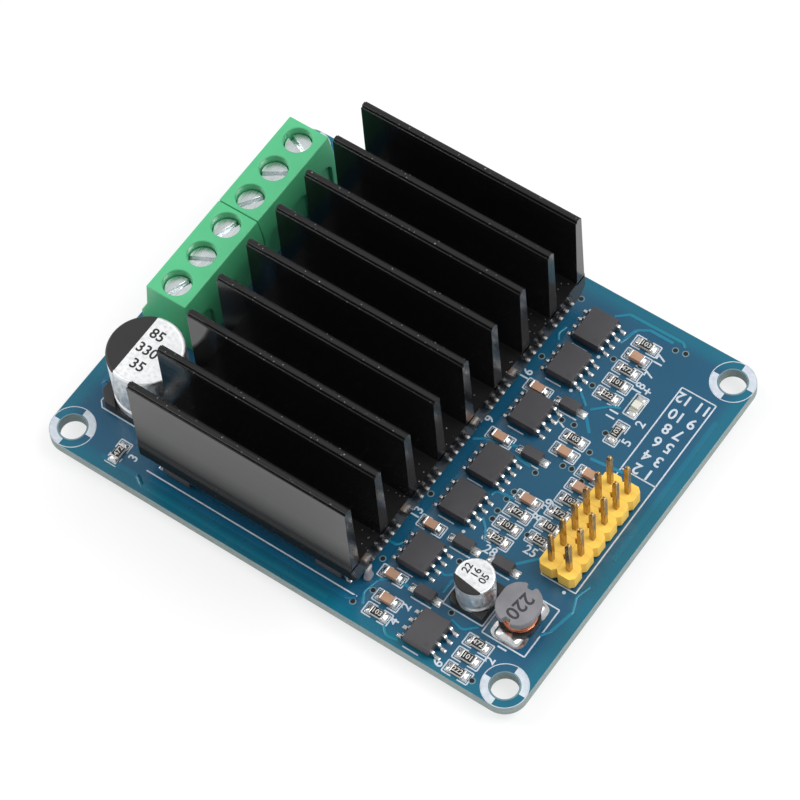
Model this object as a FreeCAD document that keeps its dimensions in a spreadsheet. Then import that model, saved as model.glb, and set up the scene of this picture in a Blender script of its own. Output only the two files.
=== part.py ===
"""A two-channel motor driver board: circuit board, finned heatsink, power transistors, driver circuits,
screw terminals with rising clamps, pin header, capacitors, inductor and small chip parts.

The frame: X runs from the screw terminals to the pin header, Y along the row of terminals, Z up.
The origin lies under the middle of the board, level with the tips of the leads that stick out below it.
"""
import FreeCAD, Part
import math
import os

import Sketcher

# Driving dimensions in millimetres: alias, value, what it is
DIMENSIONS = [
    ("BoardLength", 71.0, "circuit board along X"),
    ("BoardWidth", 56.0, "circuit board along Y"),
    ("BoardThickness", 1.6, "circuit board"),
    ("BoardCornerRadius", 3.0, "circuit board corners"),
    ("MountInset", 3.0, "mounting hole centre from either board edge"),
    ("MountDiameter", 3.5, "mounting hole"),
    ("LeadProtrusion", 1.4, "leads below the board"),
    ("SinkWidth", 50.0, "heatsink across its fins"),
    ("SinkHeight", 17.0, "heatsink from base to fin tips"),
    ("SinkBaseThickness", 3.7, "heatsink base"),
    ("SinkCornerRadius", 1.2, "heatsink base, lower outer corners"),
    ("SinkSetback", 14.15, "heatsink from the board edge at the terminals"),
    ("FinCount", 9, "heatsink fins"),
    ("FinRootThickness", 1.8, "fin at the base"),
    ("FinTipThickness", 1.2, "fin at the tip"),
    ("FinTipBevel", 0.35, "bevelled fin tip edges"),
    ("AdhesiveThickness", 0.85, "thermal adhesive on the power transistors"),
    ("AdhesiveMargin", 0.2, "adhesive layer short of the heatsink edge"),
    ("PackageLength", 4.9, "eight-lead package along its lead rows"),
    ("PackageWidth", 3.9, "eight-lead package between its lead rows"),
    ("PackageHeight", 1.5, "moulded body of the eight-lead package"),
    ("PackageStandoff", 0.15, "moulded body above the board"),
    ("PackageDraft", 7.0, "draft angle of the moulded body, in degrees"),
    ("LeadSpan", 6.0, "package over its lead toes"),
    ("LeadPitch", 1.27, "package lead pitch"),
    ("LeadCount", 4, "package leads on each side"),
    ("LeadWidth", 0.42, "package lead"),
    ("LeadThickness", 0.2, "package lead"),
    ("LeadFoot", 0.6, "flat foot of a package lead"),
    ("LeadRoot", 0.2, "package lead inside the moulded body"),
    ("TransistorCount", 8, "power transistors in a row"),
    ("TransistorPitch", 6.2, "power transistors along Y"),
    ("TransistorInset", 4.55, "transistor row centre from the heatsink edge"),
    ("DriverGap", 3.75, "heatsink edge from the middle of the driver column"),
    ("DriverTopY", 21.7, "first driver along Y"),
    ("DriverStepA", 6.0, "first driver to second"),
    ("DriverStepB", 8.2, "second driver to third"),
    ("DriverStepC", 8.85, "third driver to fourth"),
    ("DriverStepD", 6.15, "fourth driver to fifth"),
    ("DriverStepE", 8.7, "fifth driver to sixth"),
    ("BootDropA", 4.7, "bootstrap parts below the second driver"),
    ("BootDropB", 4.8, "bootstrap parts below the third driver"),
    ("BootDropC", 4.55, "bootstrap parts below the fifth driver"),
    ("BootDropD", 4.05, "bootstrap parts below the sixth driver"),
    ("BootCapacitorShift", 1.5, "bootstrap capacitor from the driver column"),
    ("BootDiodeShift", 3.35, "bootstrap diode from the driver column"),
    ("ConverterShift", 6.6, "voltage converter from the driver column"),
    ("ConverterSetback", 3.5, "voltage converter from the near board side"),
    ("ChipPitch", 2.17, "chip parts in a column"),
    ("ChipLength", 2.0, "chip part over its end caps"),
    ("ChipWidth", 1.2, "chip part"),
    ("ResistorHeight", 0.5, "chip resistor"),
    ("CapacitorHeight", 0.8, "chip capacitor"),
    ("DriverColumnGap", 6.3, "driver column from the logic chip column"),
    ("LogicTopY", 23.5, "first chip of the upper logic column"),
    ("LogicMiddleY", 7.4, "first chip of the middle logic column"),
    ("LogicLowerY", -2.75, "first chip of the lower logic column"),
    ("InputGap", 4.6, "input chip column from the middle of the header"),
    ("LogicGap", 4.4, "logic chip column from the input chip column"),
    ("InputTopY", 4.2, "first chip of the input column"),
    ("SupplyShift", 0.1, "supply chips from the driver column"),
    ("SupplySetback", 4.7, "first supply chip from the near board side"),
    ("FeedbackSetback", 8.7, "feedback chips from the board edge at the header"),
    ("FeedbackEdge", 1.4, "last feedback chip from the near board side"),
    ("UprightSetback", 11.0, "chip parts that lie along Y, from the board edge at the header"),
    ("UprightResistorY", 11.0, "lamp resistor"),
    ("LampY", 15.5, "status lamp"),
    ("LampHeight", 0.75, "status lamp"),
    ("LampBase", 0.3, "status lamp carrier"),
    ("LampLensLength", 1.2, "status lamp lens"),
    ("SettingX", 10.1, "setting resistor from the board edge at the terminals"),
    ("SettingY", 3.2, "setting resistor from the near board side"),
    ("DiodeLength", 2.7, "diode body"),
    ("DiodeWidth", 1.55, "diode body"),
    ("DiodeHeight", 1.1, "diode body"),
    ("DiodeSpan", 3.7, "diode over its leads"),
    ("DiodeLeadWidth", 0.6, "diode lead"),
    ("SteeringDiodeSetback", 12.1, "supply diode from the board edge at the header"),
    ("SteeringDiodeY", -11.9, "supply diode"),
    ("PolePitch", 5.08, "screw terminal poles"),
    ("PolesPerBlock", 3, "poles in one terminal block"),
    ("BlockCount", 2, "terminal blocks"),
    ("BlockClearance", 0.1, "seam between the terminal blocks"),
    ("BlockSetback", 1.3, "terminal blocks from the board edge"),
    ("BlockGap", 2.25, "terminal blocks from the base of the large capacitor"),
    ("BlockDepth", 8.4, "terminal block at the foot"),
    ("BlockHeight", 10.2, "terminal block"),
    ("BlockFootHeight", 3.1, "upright foot under the sloping front"),
    ("BlockSlopeTop", 5.6, "top of the sloping front"),
    ("BlockFrontInset", 1.2, "front wall above the slope, from the foot"),
    ("BlockTopInset", 1.8, "top front edge, from the foot"),
    ("BlockRearInset", 0.6, "top rear edge, from the rear wall"),
    ("BlockRearTop", 7.0, "top of the upright rear wall"),
    ("ScrewAxisDepth", 4.78, "screw axis from the front foot"),
    ("WellDiameter", 3.75, "screw well"),
    ("ShoulderTop", 7.4, "shoulder that holds the screw head"),
    ("ShoulderBottom", 7.0, "roof of the clamp chamber"),
    ("ScrewHoleClearance", 0.2, "radial room round the screw shank"),
    ("ChamberDepth", 4.9, "clamp chamber along X"),
    ("ChamberFront", 2.05, "clamp chamber from the screw axis to the front"),
    ("ChamberWidth", 4.2, "clamp chamber along Y"),
    ("WireWidth", 3.2, "wire entry"),
    ("WireSill", 0.6, "wire entry above the board"),
    ("WireHeight", 3.2, "wire entry, sill to crown"),
    ("WireCorner", 0.8, "cut upper corners of the wire entry"),
    ("ArchWidth", 3.2, "arched recess of the rear wall"),
    ("ArchHeight", 6.0, "arched recess of the rear wall"),
    ("ArchDepth", 0.4, "arched recess of the rear wall"),
    ("HeadDiameter", 3.5, "terminal screw head"),
    ("HeadHeight", 1.55, "terminal screw head"),
    ("HeadSeatGap", 0.05, "screw head above its shoulder"),
    ("ShankDiameter", 2.5, "terminal screw shank"),
    ("SlotWidth", 0.55, "terminal screw slot"),
    ("SlotDepth", 0.8, "terminal screw slot"),
    ("ClampLength", 3.8, "rising clamp along the wire"),
    ("ClampWidth", 3.9, "rising clamp across the wire"),
    ("ClampHeight", 4.5, "rising clamp"),
    ("ClampRoof", 1.2, "threaded roof of the clamp"),
    ("ClampWall", 0.6, "clamp side walls and floor"),
    ("ClampLift", 0.4, "opened clamp above the board"),
    ("ThreadClearance", 0.05, "radial room of the screw in the clamp"),
    ("ContactWidth", 2.0, "contact bar"),
    ("ContactThickness", 0.6, "contact bar"),
    ("ContactGap", 0.05, "contact bar under the opened clamp's roof"),
    ("ContactReach", 0.25, "contact strip behind the clamp"),
    ("ContactPinWidth", 0.9, "contact pin through the board"),
    ("HeaderPitch", 2.54, "pin header"),
    ("HeaderRows", 2, "pin header rows"),
    ("HeaderColumns", 6, "pin header columns"),
    ("HeaderSetback", 5.8, "pin header centre from the board edge"),
    ("HeaderCentreY", -2.58, "pin header centre along Y"),
    ("HeaderHeight", 2.54, "pin header insulator"),
    ("HeaderChamfer", 0.5, "corners of the insulator's cells"),
    ("PinWidth", 0.64, "square header pin"),
    ("PinHeight", 8.6, "header pin above the board"),
    ("PinTaper", 0.15, "chamfer at a pin's upper end"),
    ("HoleClearance", 0.03, "board hole round a lead, on each side"),
    ("PinSlip", 0.01, "pin faces clear of the insulator"),
    ("BulkDiameter", 10.0, "large electrolytic capacitor"),
    ("BulkHeight", 10.2, "large electrolytic capacitor"),
    ("BulkBase", 10.3, "large capacitor base"),
    ("BulkSinkGap", 0.35, "large capacitor base from the heatsink"),
    ("BulkSetback", 12.6, "large capacitor from the near board side"),
    ("BulkFloor", 0.7, "large capacitor base under the can"),
    ("BulkLug", 0.9, "raised corners of the large capacitor base"),
    ("BulkMark", 1.3, "cut corners that mark the large capacitor's polarity"),
    ("SmallDiameter", 5.0, "small electrolytic capacitor"),
    ("SmallHeight", 5.4, "small electrolytic capacitor"),
    ("SmallBase", 5.3, "small capacitor base"),
    ("SmallFloor", 0.4, "small capacitor base under the can"),
    ("SmallLug", 0.6, "raised corners of the small capacitor base"),
    ("SmallMark", 0.65, "cut corners that mark the small capacitor's polarity"),
    ("SmallSetback", 12.5, "small capacitor from the board edge at the header"),
    ("SmallY", -17.05, "small capacitor along Y"),
    ("CanClearance", 0.05, "can from its base's raised corners"),
    ("CrimpDepth", 0.04, "rolled groove of a can, as a share of its diameter"),
    ("CrimpHeight", 0.16, "middle of the rolled groove, as a share of the can's height"),
    ("CoilLength", 5.8, "inductor core along Y"),
    ("CoilWidth", 5.2, "inductor core along X"),
    ("CoilHeight", 4.5, "inductor core"),
    ("CoilFlange", 1.05, "inductor flange thickness"),
    ("CoilPost", 1.2, "inductor centre post radius"),
    ("CoilWire", 0.35, "winding back from the flange edge"),
    ("CoilNotch", 0.55, "wire notch, its depth and half its width"),
    ("CoilSetback", 6.35, "inductor from the board edge at the header"),
    ("CoilY", -16.85, "inductor along Y"),
]

# Screw slots as they were left, in degrees from the X axis, from the near pole to the far one
SLOT_ANGLES = (68.0, 27.0, 72.0, 54.0, 33.0, -19.0)

document = FreeCAD.newDocument("MotorDriver")
sizes = document.addObject("Spreadsheet::Sheet", "Sizes")
nodes = []


def fill_sheet():
    """Write every driving dimension into the sheet, with its alias and what it is."""
    for row, (alias, number, meaning) in enumerate(DIMENSIONS, start=1):
        sizes.set(f"A{row}", alias)
        sizes.set(f"B{row}", str(number))
        sizes.setAlias(f"B{row}", alias)
        sizes.set(f"C{row}", meaning)
    document.recompute()


def full(expression):
    """An expression with each dimension's name spelled the way the document finds it."""
    words = expression
    for alias in sorted((entry[0] for entry in DIMENSIONS), key=len, reverse=True):
        words = words.replace(f"<{alias}>", f"Sizes.{alias}")
    return words


def number(expression):
    """The present value of an expression."""
    return float(sizes.evalExpression(full(str(expression))))


def bind(thing, path, expression):
    """Tie one property of an object to the sheet."""
    thing.setExpression(path, full(str(expression)))


def new_body(label, x="0", y="0", z="0", turn=0.0, several=False, keep=True):
    """A body that stands at a place of its own; keep lists it as a sub-part."""
    body = document.addObject("PartDesign::Body", f"Body_{label}")
    body.Label = label
    body.AllowCompound = several
    upright = FreeCAD.Vector(0, 0, 1)
    body.Placement = FreeCAD.Placement(FreeCAD.Vector(), FreeCAD.Rotation(upright, turn))
    for axis, place in (("x", x), ("y", y), ("z", z)):
        bind(body, f"Placement.Base.{axis}", place)
    if keep:
        nodes.append(body)
    return body


def new_sketch(body, plane, level="0"):
    """An empty sketch on one of the body's own planes, moved along its normal by level."""
    planes = {feature.Role: feature for feature in body.Origin.OriginFeatures}
    sketch = body.newObject("Sketcher::SketchObject", "Sketch")
    sketch.AttachmentSupport = (planes[plane], [""])
    sketch.MapMode = "FlatFace"
    bind(sketch, "AttachmentOffset.Base.z", level)
    return sketch


def draw_polygon(sketch, corners):
    """A closed outline whose corners are pairs of expressions."""
    points = [FreeCAD.Vector(number(u), number(v), 0) for u, v in corners]
    count = len(points)
    first = sketch.GeometryCount
    for index in range(count):
        sketch.addGeometry(Part.LineSegment(points[index], points[(index + 1) % count]), False)
    for index in range(count):
        following = first + (index + 1) % count
        sketch.addConstraint(Sketcher.Constraint("Coincident", first + index, 2, following, 1))
    for index, (u, v) in enumerate(corners):
        point = points[index]
        for kind, expression, place in (("DistanceX", u, point.x), ("DistanceY", v, point.y)):
            made = sketch.addConstraint(Sketcher.Constraint(kind, -1, 1, first + index, 1, place))
            bind(sketch, f"Constraints[{made}]", expression)


def draw_rectangle(sketch, low_u, low_v, high_u, high_v):
    """An upright rectangle between two corners."""
    draw_polygon(sketch, [(low_u, low_v), (high_u, low_v), (high_u, high_v), (low_u, high_v)])


def draw_eight_sided(sketch, u, v, reach):
    """A regular octagon about a point, its flats at the given reach: the stand-in for a threaded round."""
    side = f"({reach}) * (sqrt(2) - 1)"
    back = f"-({reach})"
    corners = [(reach, f"-{side}"), (reach, side), (side, reach), (f"-{side}", reach),
               (back, side), (back, f"-{side}"), (f"-{side}", back), (side, back)]
    draw_polygon(sketch, [(f"{u} + {across}", f"{v} + {up}") for across, up in corners])


def draw_circle(sketch, u, v, radius):
    """A circle whose centre and radius are expressions."""
    centre = FreeCAD.Vector(number(u), number(v), 0)
    index = sketch.addGeometry(Part.Circle(centre, FreeCAD.Vector(0, 0, 1), number(radius)), False)
    for kind, expression, place in (("DistanceX", u, centre.x), ("DistanceY", v, centre.y)):
        made = sketch.addConstraint(Sketcher.Constraint(kind, -1, 1, index, 3, place))
        bind(sketch, f"Constraints[{made}]", expression)
    made = sketch.addConstraint(Sketcher.Constraint("Radius", index, number(radius)))
    bind(sketch, f"Constraints[{made}]", radius)


def draw_arch(sketch, centre, half_width, sill, crown):
    """An upright opening with a half-round head: centre line, half width, sill and crown."""
    left, right = f"({centre}) - ({half_width})", f"({centre}) + ({half_width})"
    spring = f"({crown}) - ({half_width})"
    corner = [(left, sill), (right, sill), (right, spring), (left, spring)]
    points = [FreeCAD.Vector(number(u), number(v), 0) for u, v in corner]
    for start, end in ((0, 1), (1, 2), (3, 0)):
        sketch.addGeometry(Part.LineSegment(points[start], points[end]), False)
    middle = FreeCAD.Vector(number(centre), number(spring), 0)
    head = Part.Circle(middle, FreeCAD.Vector(0, 0, 1), number(half_width))
    sketch.addGeometry(Part.ArcOfCircle(head, 0, math.pi), False)
    for first, end, second, start in ((0, 2, 1, 1), (1, 2, 3, 1), (3, 2, 2, 1), (2, 2, 0, 1)):
        sketch.addConstraint(Sketcher.Constraint("Coincident", first, end, second, start))
    for (line, end), (u, v) in zip(((0, 1), (1, 1), (1, 2), (2, 1)), corner):
        for kind, expression in (("DistanceX", u), ("DistanceY", v)):
            made = sketch.addConstraint(Sketcher.Constraint(kind, -1, 1, line, end, number(expression)))
            bind(sketch, f"Constraints[{made}]", expression)
    made = sketch.addConstraint(Sketcher.Constraint("DistanceY", -1, 1, 3, 3, number(spring)))
    bind(sketch, f"Constraints[{made}]", spring)


def pad(body, sketch, length, symmetric=False, backwards=False, draft=None):
    """Raise a sketch into a solid, with a draft angle if one is given."""
    feature = body.newObject("PartDesign::Pad", "Pad")
    feature.Profile = sketch
    feature.SideType = "Symmetric" if symmetric else "One side"
    feature.Reversed = backwards
    bind(feature, "Length", length)
    if draft is not None:
        bind(feature, "TaperAngle", draft)
    return feature


def pocket(body, sketch, depth, backwards=False):
    """Cut a sketch into the body, against the sketch's normal unless backwards."""
    feature = body.newObject("PartDesign::Pocket", "Pocket")
    feature.Profile = sketch
    feature.Reversed = backwards
    bind(feature, "Length", depth)
    return feature


def turned(body, sketch):
    """Turn a half profile, drawn on the XZ plane, once round the body's Z axis."""
    feature = body.newObject("PartDesign::Revolution", "Turning")
    feature.Profile = sketch
    feature.ReferenceAxis = (sketch, ["V_Axis"])
    feature.Angle = 360
    return feature


def repeat(body, features, sketch, axis, pitch, count, second=None):
    """Repeat features along an axis of a sketch; second is another axis, pitch and count."""
    feature = body.newObject("PartDesign::LinearPattern", "Repeat")
    feature.Originals = features
    feature.Direction = (sketch, [axis])
    bind(feature, "Length", f"({pitch}) * (({count}) - 1)")
    bind(feature, "Occurrences", count)
    if second:
        feature.Direction2 = (sketch, [second[0]])
        bind(feature, "Length2", f"({second[1]}) * (({second[2]}) - 1)")
        bind(feature, "Occurrences2", second[2])
    body.Tip = feature
    return feature


def edges_where(feature, test):
    """Names of the feature's edges whose two ends pass a test."""
    document.recompute()
    names = []
    for index, edge in enumerate(feature.Shape.Edges, start=1):
        ends = [vertex.Point for vertex in edge.Vertexes]
        if len(ends) == 2 and test(*ends):
            names.append(f"Edge{index}")
    return names


def dress(body, kind, feature, edges, size):
    """Round or chamfer edges of the last feature."""
    made = body.newObject(f"PartDesign::{kind}", kind)
    made.Base = (feature, edges)
    bind(made, "Radius" if kind == "Fillet" else "Size", size)
    return made


def is_upright(start, end):
    """True for an edge along Z."""
    return abs(start.x - end.x) < 1e-6 and abs(start.y - end.y) < 1e-6


# Places that several pieces share
BOARD_TOP = "<LeadProtrusion> + <BoardThickness>"
BOARD_LEFT = "-<BoardLength> / 2"
BOARD_RIGHT = "<BoardLength> / 2"
BOARD_NEAR = "-<BoardWidth> / 2"
HEADER_X = f"{BOARD_RIGHT} - <HeaderSetback>"
INPUT_X = f"{HEADER_X} - <InputGap>"
LOGIC_X = f"{INPUT_X} - <LogicGap>"
DRIVER_X = f"{LOGIC_X} - <DriverColumnGap>"
UPRIGHT_X = f"{BOARD_RIGHT} - <UprightSetback>"
SINK_LEFT = f"{BOARD_LEFT} + <SinkSetback>"
SINK_RIGHT = f"{DRIVER_X} - <DriverGap>"
SINK_LENGTH = f"({SINK_RIGHT}) - ({SINK_LEFT})"
SINK_FLOOR = f"{BOARD_TOP} + <PackageStandoff> + <PackageHeight> + <AdhesiveThickness>"
SCREW_X = f"{BOARD_LEFT} + <BlockSetback> + <ScrewAxisDepth>"
POLE_COUNT = "<PolesPerBlock> * <BlockCount>"
BULK_Y = f"{BOARD_NEAR} + <BulkSetback>"
BLOCK_START_Y = f"{BULK_Y} + <BulkBase> / 2 + <BlockGap>"
FIRST_POLE_Y = f"{BLOCK_START_Y} + <PolePitch> / 2"
CONTACT_X = f"{SCREW_X} + <ClampLength> / 2 + <ContactReach> + <ContactThickness> / 2"
HEADER_FIRST_X = f"{HEADER_X} - <HeaderPitch> * (<HeaderRows> - 1) / 2"
HEADER_FIRST_Y = "<HeaderCentreY> - <HeaderPitch> * (<HeaderColumns> - 1) / 2"
CLAMP_WINDOW = "<ClampHeight> - <ClampRoof> - <ClampWall>"
BAR_TOP = "<ClampLift> + <ClampHeight> - <ClampRoof> - <ContactGap>"


def make_board():
    """The circuit board, with its mounting holes and the holes of the leads."""
    body = new_body("circuit_board", z="<LeadProtrusion>")
    outline = new_sketch(body, "XY_Plane")
    draw_rectangle(outline, BOARD_LEFT, BOARD_NEAR, BOARD_RIGHT, "<BoardWidth> / 2")
    plate = pad(body, outline, "<BoardThickness>")
    dress(body, "Fillet", plate, edges_where(plate, is_upright), "<BoardCornerRadius>")

    mounts = new_sketch(body, "XY_Plane", "<BoardThickness>")
    draw_circle(mounts, f"{BOARD_LEFT} + <MountInset>", f"{BOARD_NEAR} + <MountInset>",
                "<MountDiameter> / 2")
    mount = pocket(body, mounts, "<BoardThickness>")
    repeat(body, [mount], mounts, "H_Axis", "<BoardLength> - 2 * <MountInset>", "2",
           second=("V_Axis", "<BoardWidth> - 2 * <MountInset>", "2"))

    contacts = new_sketch(body, "XY_Plane", "<BoardThickness>")
    half_x = "(<ContactThickness> / 2 + <HoleClearance>)"
    half_y = "(<ContactPinWidth> / 2 + <HoleClearance>)"
    draw_rectangle(contacts, f"{CONTACT_X} - {half_x}", f"{FIRST_POLE_Y} - {half_y}",
                   f"{CONTACT_X} + {half_x}", f"{FIRST_POLE_Y} + {half_y}")
    contact = pocket(body, contacts, "<BoardThickness>")
    repeat(body, [contact], contacts, "V_Axis", "<PolePitch>", POLE_COUNT)

    pins = new_sketch(body, "XY_Plane", "<BoardThickness>")
    half = "(<PinWidth> / 2 + <HoleClearance>)"
    draw_rectangle(pins, f"{HEADER_FIRST_X} - {half}", f"{HEADER_FIRST_Y} - {half}",
                   f"{HEADER_FIRST_X} + {half}", f"{HEADER_FIRST_Y} + {half}")
    pin = pocket(body, pins, "<BoardThickness>")
    repeat(body, [pin], pins, "H_Axis", "<HeaderPitch>", "<HeaderRows>",
           second=("V_Axis", "<HeaderPitch>", "<HeaderColumns>"))


def make_heatsink():
    """The extruded heatsink: a base with rounded lower corners and tapered fins with bevelled tips."""
    body = new_body("heatsink", x=SINK_LEFT, z=SINK_FLOOR)
    half = "<SinkWidth> / 2"
    section = new_sketch(body, "YZ_Plane")
    draw_rectangle(section, f"-{half}", "0", half, "<SinkBaseThickness>")
    base = pad(body, section, SINK_LENGTH)
    lower = edges_where(base, lambda start, end: abs(start.x - end.x) > 1e-6 and start.z + end.z < 1e-6)
    dress(body, "Fillet", base, lower, "<SinkCornerRadius>")

    fin = new_sketch(body, "YZ_Plane")
    middle = f"-{half} + <FinRootThickness> / 2"
    draw_polygon(fin, [
        (f"{middle} - <FinRootThickness> / 2", "<SinkBaseThickness> / 2"),
        (f"{middle} + <FinRootThickness> / 2", "<SinkBaseThickness> / 2"),
        (f"{middle} + <FinRootThickness> / 2", "<SinkBaseThickness>"),
        (f"{middle} + <FinTipThickness> / 2", "<SinkHeight>"),
        (f"{middle} - <FinTipThickness> / 2", "<SinkHeight>"),
        (f"{middle} - <FinRootThickness> / 2", "<SinkBaseThickness>"),
    ])
    blade = pad(body, fin, SINK_LENGTH)
    height = number("<SinkHeight>")
    tip = edges_where(blade, lambda start, end: abs(start.x - end.x) > 1e-6
                      and abs(start.z - height) < 1e-6 and abs(end.z - height) < 1e-6)
    bevelled = dress(body, "Chamfer", blade, tip, "<FinTipBevel>")
    repeat(body, [blade, bevelled], fin, "H_Axis",
           "(<SinkWidth> - <FinRootThickness>) / (<FinCount> - 1)", "<FinCount>")


def make_adhesive():
    """The layer of thermal adhesive between the power transistors and the heatsink."""
    body = new_body("thermal_adhesive", x=SINK_LEFT, z=f"{SINK_FLOOR} - (<AdhesiveThickness>)")
    layer = new_sketch(body, "XY_Plane")
    side = "<SinkWidth> / 2 - <AdhesiveMargin>"
    draw_rectangle(layer, "<AdhesiveMargin>", f"-({side})", f"{SINK_LENGTH} - <AdhesiveMargin>", side)
    pad(body, layer, "<AdhesiveThickness>")


def draw_package_outline(body):
    """The plan outline of an eight-lead package, at the underside of its moulded body."""
    outline = new_sketch(body, "XY_Plane", "<PackageStandoff>")
    half_x, half_y = "<PackageWidth> / 2", "<PackageLength> / 2"
    draw_rectangle(outline, f"-{half_x}", f"-{half_y}", half_x, half_y)
    return outline


def add_package(label, x, y):
    """An eight-lead moulded package: a drafted body and two rows of bent leads."""
    body = new_body(label, x=x, y=y, z=BOARD_TOP)
    outline = draw_package_outline(body)
    pad(body, outline, "<PackageHeight>", draft="-<PackageDraft>")
    features = []
    middle = "<PackageStandoff> + <PackageHeight> / 2"
    for side in ("", "-"):
        profile = new_sketch(body, "XZ_Plane", "<LeadPitch> * (<LeadCount> - 1) / 2")
        root = f"{side}(<PackageWidth> / 2 - <LeadRoot>)"
        heel = f"{side}(<LeadSpan> / 2 - <LeadFoot>)"
        toe = f"{side}<LeadSpan> / 2"
        draw_polygon(profile, [
            (root, f"{middle} + <LeadThickness> / 2"),
            (heel, f"{middle} + <LeadThickness> / 2"),
            (toe, "<LeadThickness>"),
            (toe, "0"),
            (heel, "0"),
            (root, f"{middle} - <LeadThickness> / 2"),
        ])
        features.append(pad(body, profile, "<LeadWidth>", symmetric=True))
    guide = new_sketch(body, "XY_Plane")
    repeat(body, features, guide, "V_Axis", "<LeadPitch>", "<LeadCount>")


def add_transistor(label, x, y, turn, keep):
    """A power transistor: a moulded body with leads on one side; its drain pad lies under the body."""
    body = new_body(label, x=x, y=y, z=BOARD_TOP, turn=turn, keep=keep)
    outline = draw_package_outline(body)
    pad(body, outline, "<PackageHeight>")
    profile = new_sketch(body, "XZ_Plane", "<LeadPitch> * (<LeadCount> - 1) / 2")
    root, toe = "<PackageWidth> / 2 - <LeadRoot>", "<LeadSpan> / 2"
    middle = "<PackageStandoff> + <PackageHeight> / 2"
    draw_polygon(profile, [
        (root, f"{middle} + <LeadThickness> / 2"),
        (toe, "<LeadThickness>"),
        (toe, "0"),
        (root, f"{middle} - <LeadThickness> / 2"),
    ])
    lead = pad(body, profile, "<LeadWidth>", symmetric=True)
    repeat(body, [lead], outline, "V_Axis", "<LeadPitch>", "<LeadCount>")
    return body


def gather(label, members):
    """One sub-part that groups like pieces, each a solid of its own."""
    group = document.addObject("Part::Compound", f"Group_{label}")
    group.Label = label
    group.Links = members
    nodes.append(group)


def make_packages():
    """The power transistors under the heatsink, the gate drivers, and the voltage converter."""
    first = "-<TransistorPitch> * (<TransistorCount> - 1) / 2"
    rear = []
    for index in range(round(number("<TransistorCount>"))):
        y = f"{first} + {index} * <TransistorPitch>"
        front_x, rear_x = f"{SINK_RIGHT} - <TransistorInset>", f"{SINK_LEFT} + <TransistorInset>"
        add_transistor(f"front_transistor_{index + 1}", front_x, y, 0.0, keep=True)
        rear.append(add_transistor("rear_transistor", rear_x, y, 180.0, keep=False))
    gather("rear_transistors", rear)
    for index, y in enumerate(driver_rows(), start=1):
        add_package(f"gate_driver_{index}", DRIVER_X, y)
    converter_x, converter_y = f"{DRIVER_X} + <ConverterShift>", f"{BOARD_NEAR} + <ConverterSetback>"
    add_package("voltage_converter", converter_x, converter_y)


def driver_rows():
    """The places of the drivers along Y, from the far side to the near side."""
    places = ["<DriverTopY>"]
    for letter in "ABCDE":
        places.append(f"{places[-1]} - <DriverStep{letter}>")
    return places


def boot_rows():
    """The places along Y of the bootstrap parts, each below its driver."""
    drivers = driver_rows()
    below = ((1, "A"), (2, "B"), (4, "C"), (5, "D"))
    return [f"{drivers[index]} - <BootDrop{letter}>" for index, letter in below]


def add_chip(label, x, y, height, upright=False):
    """A chip resistor or capacitor: a flat fired block."""
    body = new_body(label, x=x, y=y, z=BOARD_TOP, turn=90.0 if upright else 0.0, keep=False)
    block = new_sketch(body, "XY_Plane")
    draw_rectangle(block, "-<ChipLength> / 2", "-<ChipWidth> / 2", "<ChipLength> / 2", "<ChipWidth> / 2")
    pad(body, block, height)
    return body


def make_chips():
    """The chip resistors and chip capacitors, in columns of even pitch."""
    supply = f"{DRIVER_X} - <SupplyShift>"
    feedback = f"{BOARD_RIGHT} - <FeedbackSetback>"
    columns = [
        (LOGIC_X, "<LogicTopY>", "RCRRR"),
        (LOGIC_X, "<LogicMiddleY>", "RC"),
        (LOGIC_X, "<LogicLowerY>", "CRRR"),
        (INPUT_X, "<InputTopY>", "CCRRRR"),
        (supply, f"{BOARD_NEAR} + <SupplySetback>", "CR"),
        (feedback, f"{BOARD_NEAR} + <FeedbackEdge> + 2 * <ChipPitch>", "RRR"),
    ]
    resistors, capacitors = [], []
    for x, top, kinds in columns:
        for index, kind in enumerate(kinds):
            y = f"{top} - {index} * <ChipPitch>"
            if kind == "R":
                resistors.append(add_chip("resistor", x, y, "<ResistorHeight>"))
            else:
                capacitors.append(add_chip("capacitor", x, y, "<CapacitorHeight>"))
    boot_x = f"{DRIVER_X} - <BootCapacitorShift>"
    for y in boot_rows():
        capacitors.append(add_chip("capacitor", boot_x, y, "<CapacitorHeight>"))
    lamp_resistor = (UPRIGHT_X, "<UprightResistorY>")
    setting_resistor = (f"{BOARD_LEFT} + <SettingX>", f"{BOARD_NEAR} + <SettingY>")
    for x, y in (lamp_resistor, setting_resistor):
        resistors.append(add_chip("resistor", x, y, "<ResistorHeight>", upright=True))
    gather("chip_resistors", resistors)
    gather("chip_capacitors", capacitors)


def make_lamp():
    """The status lamp: a flat carrier and a shorter clear lens block that rises through it."""
    body = new_body("status_lamp", x=UPRIGHT_X, y="<LampY>", z=BOARD_TOP, turn=90.0)
    for length, height in (("<ChipLength>", "<LampBase>"), ("<LampLensLength>", "<LampHeight>")):
        outline = new_sketch(body, "XY_Plane")
        draw_rectangle(outline, f"-{length} / 2", "-<ChipWidth> / 2", f"{length} / 2", "<ChipWidth> / 2")
        pad(body, outline, height)


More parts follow.
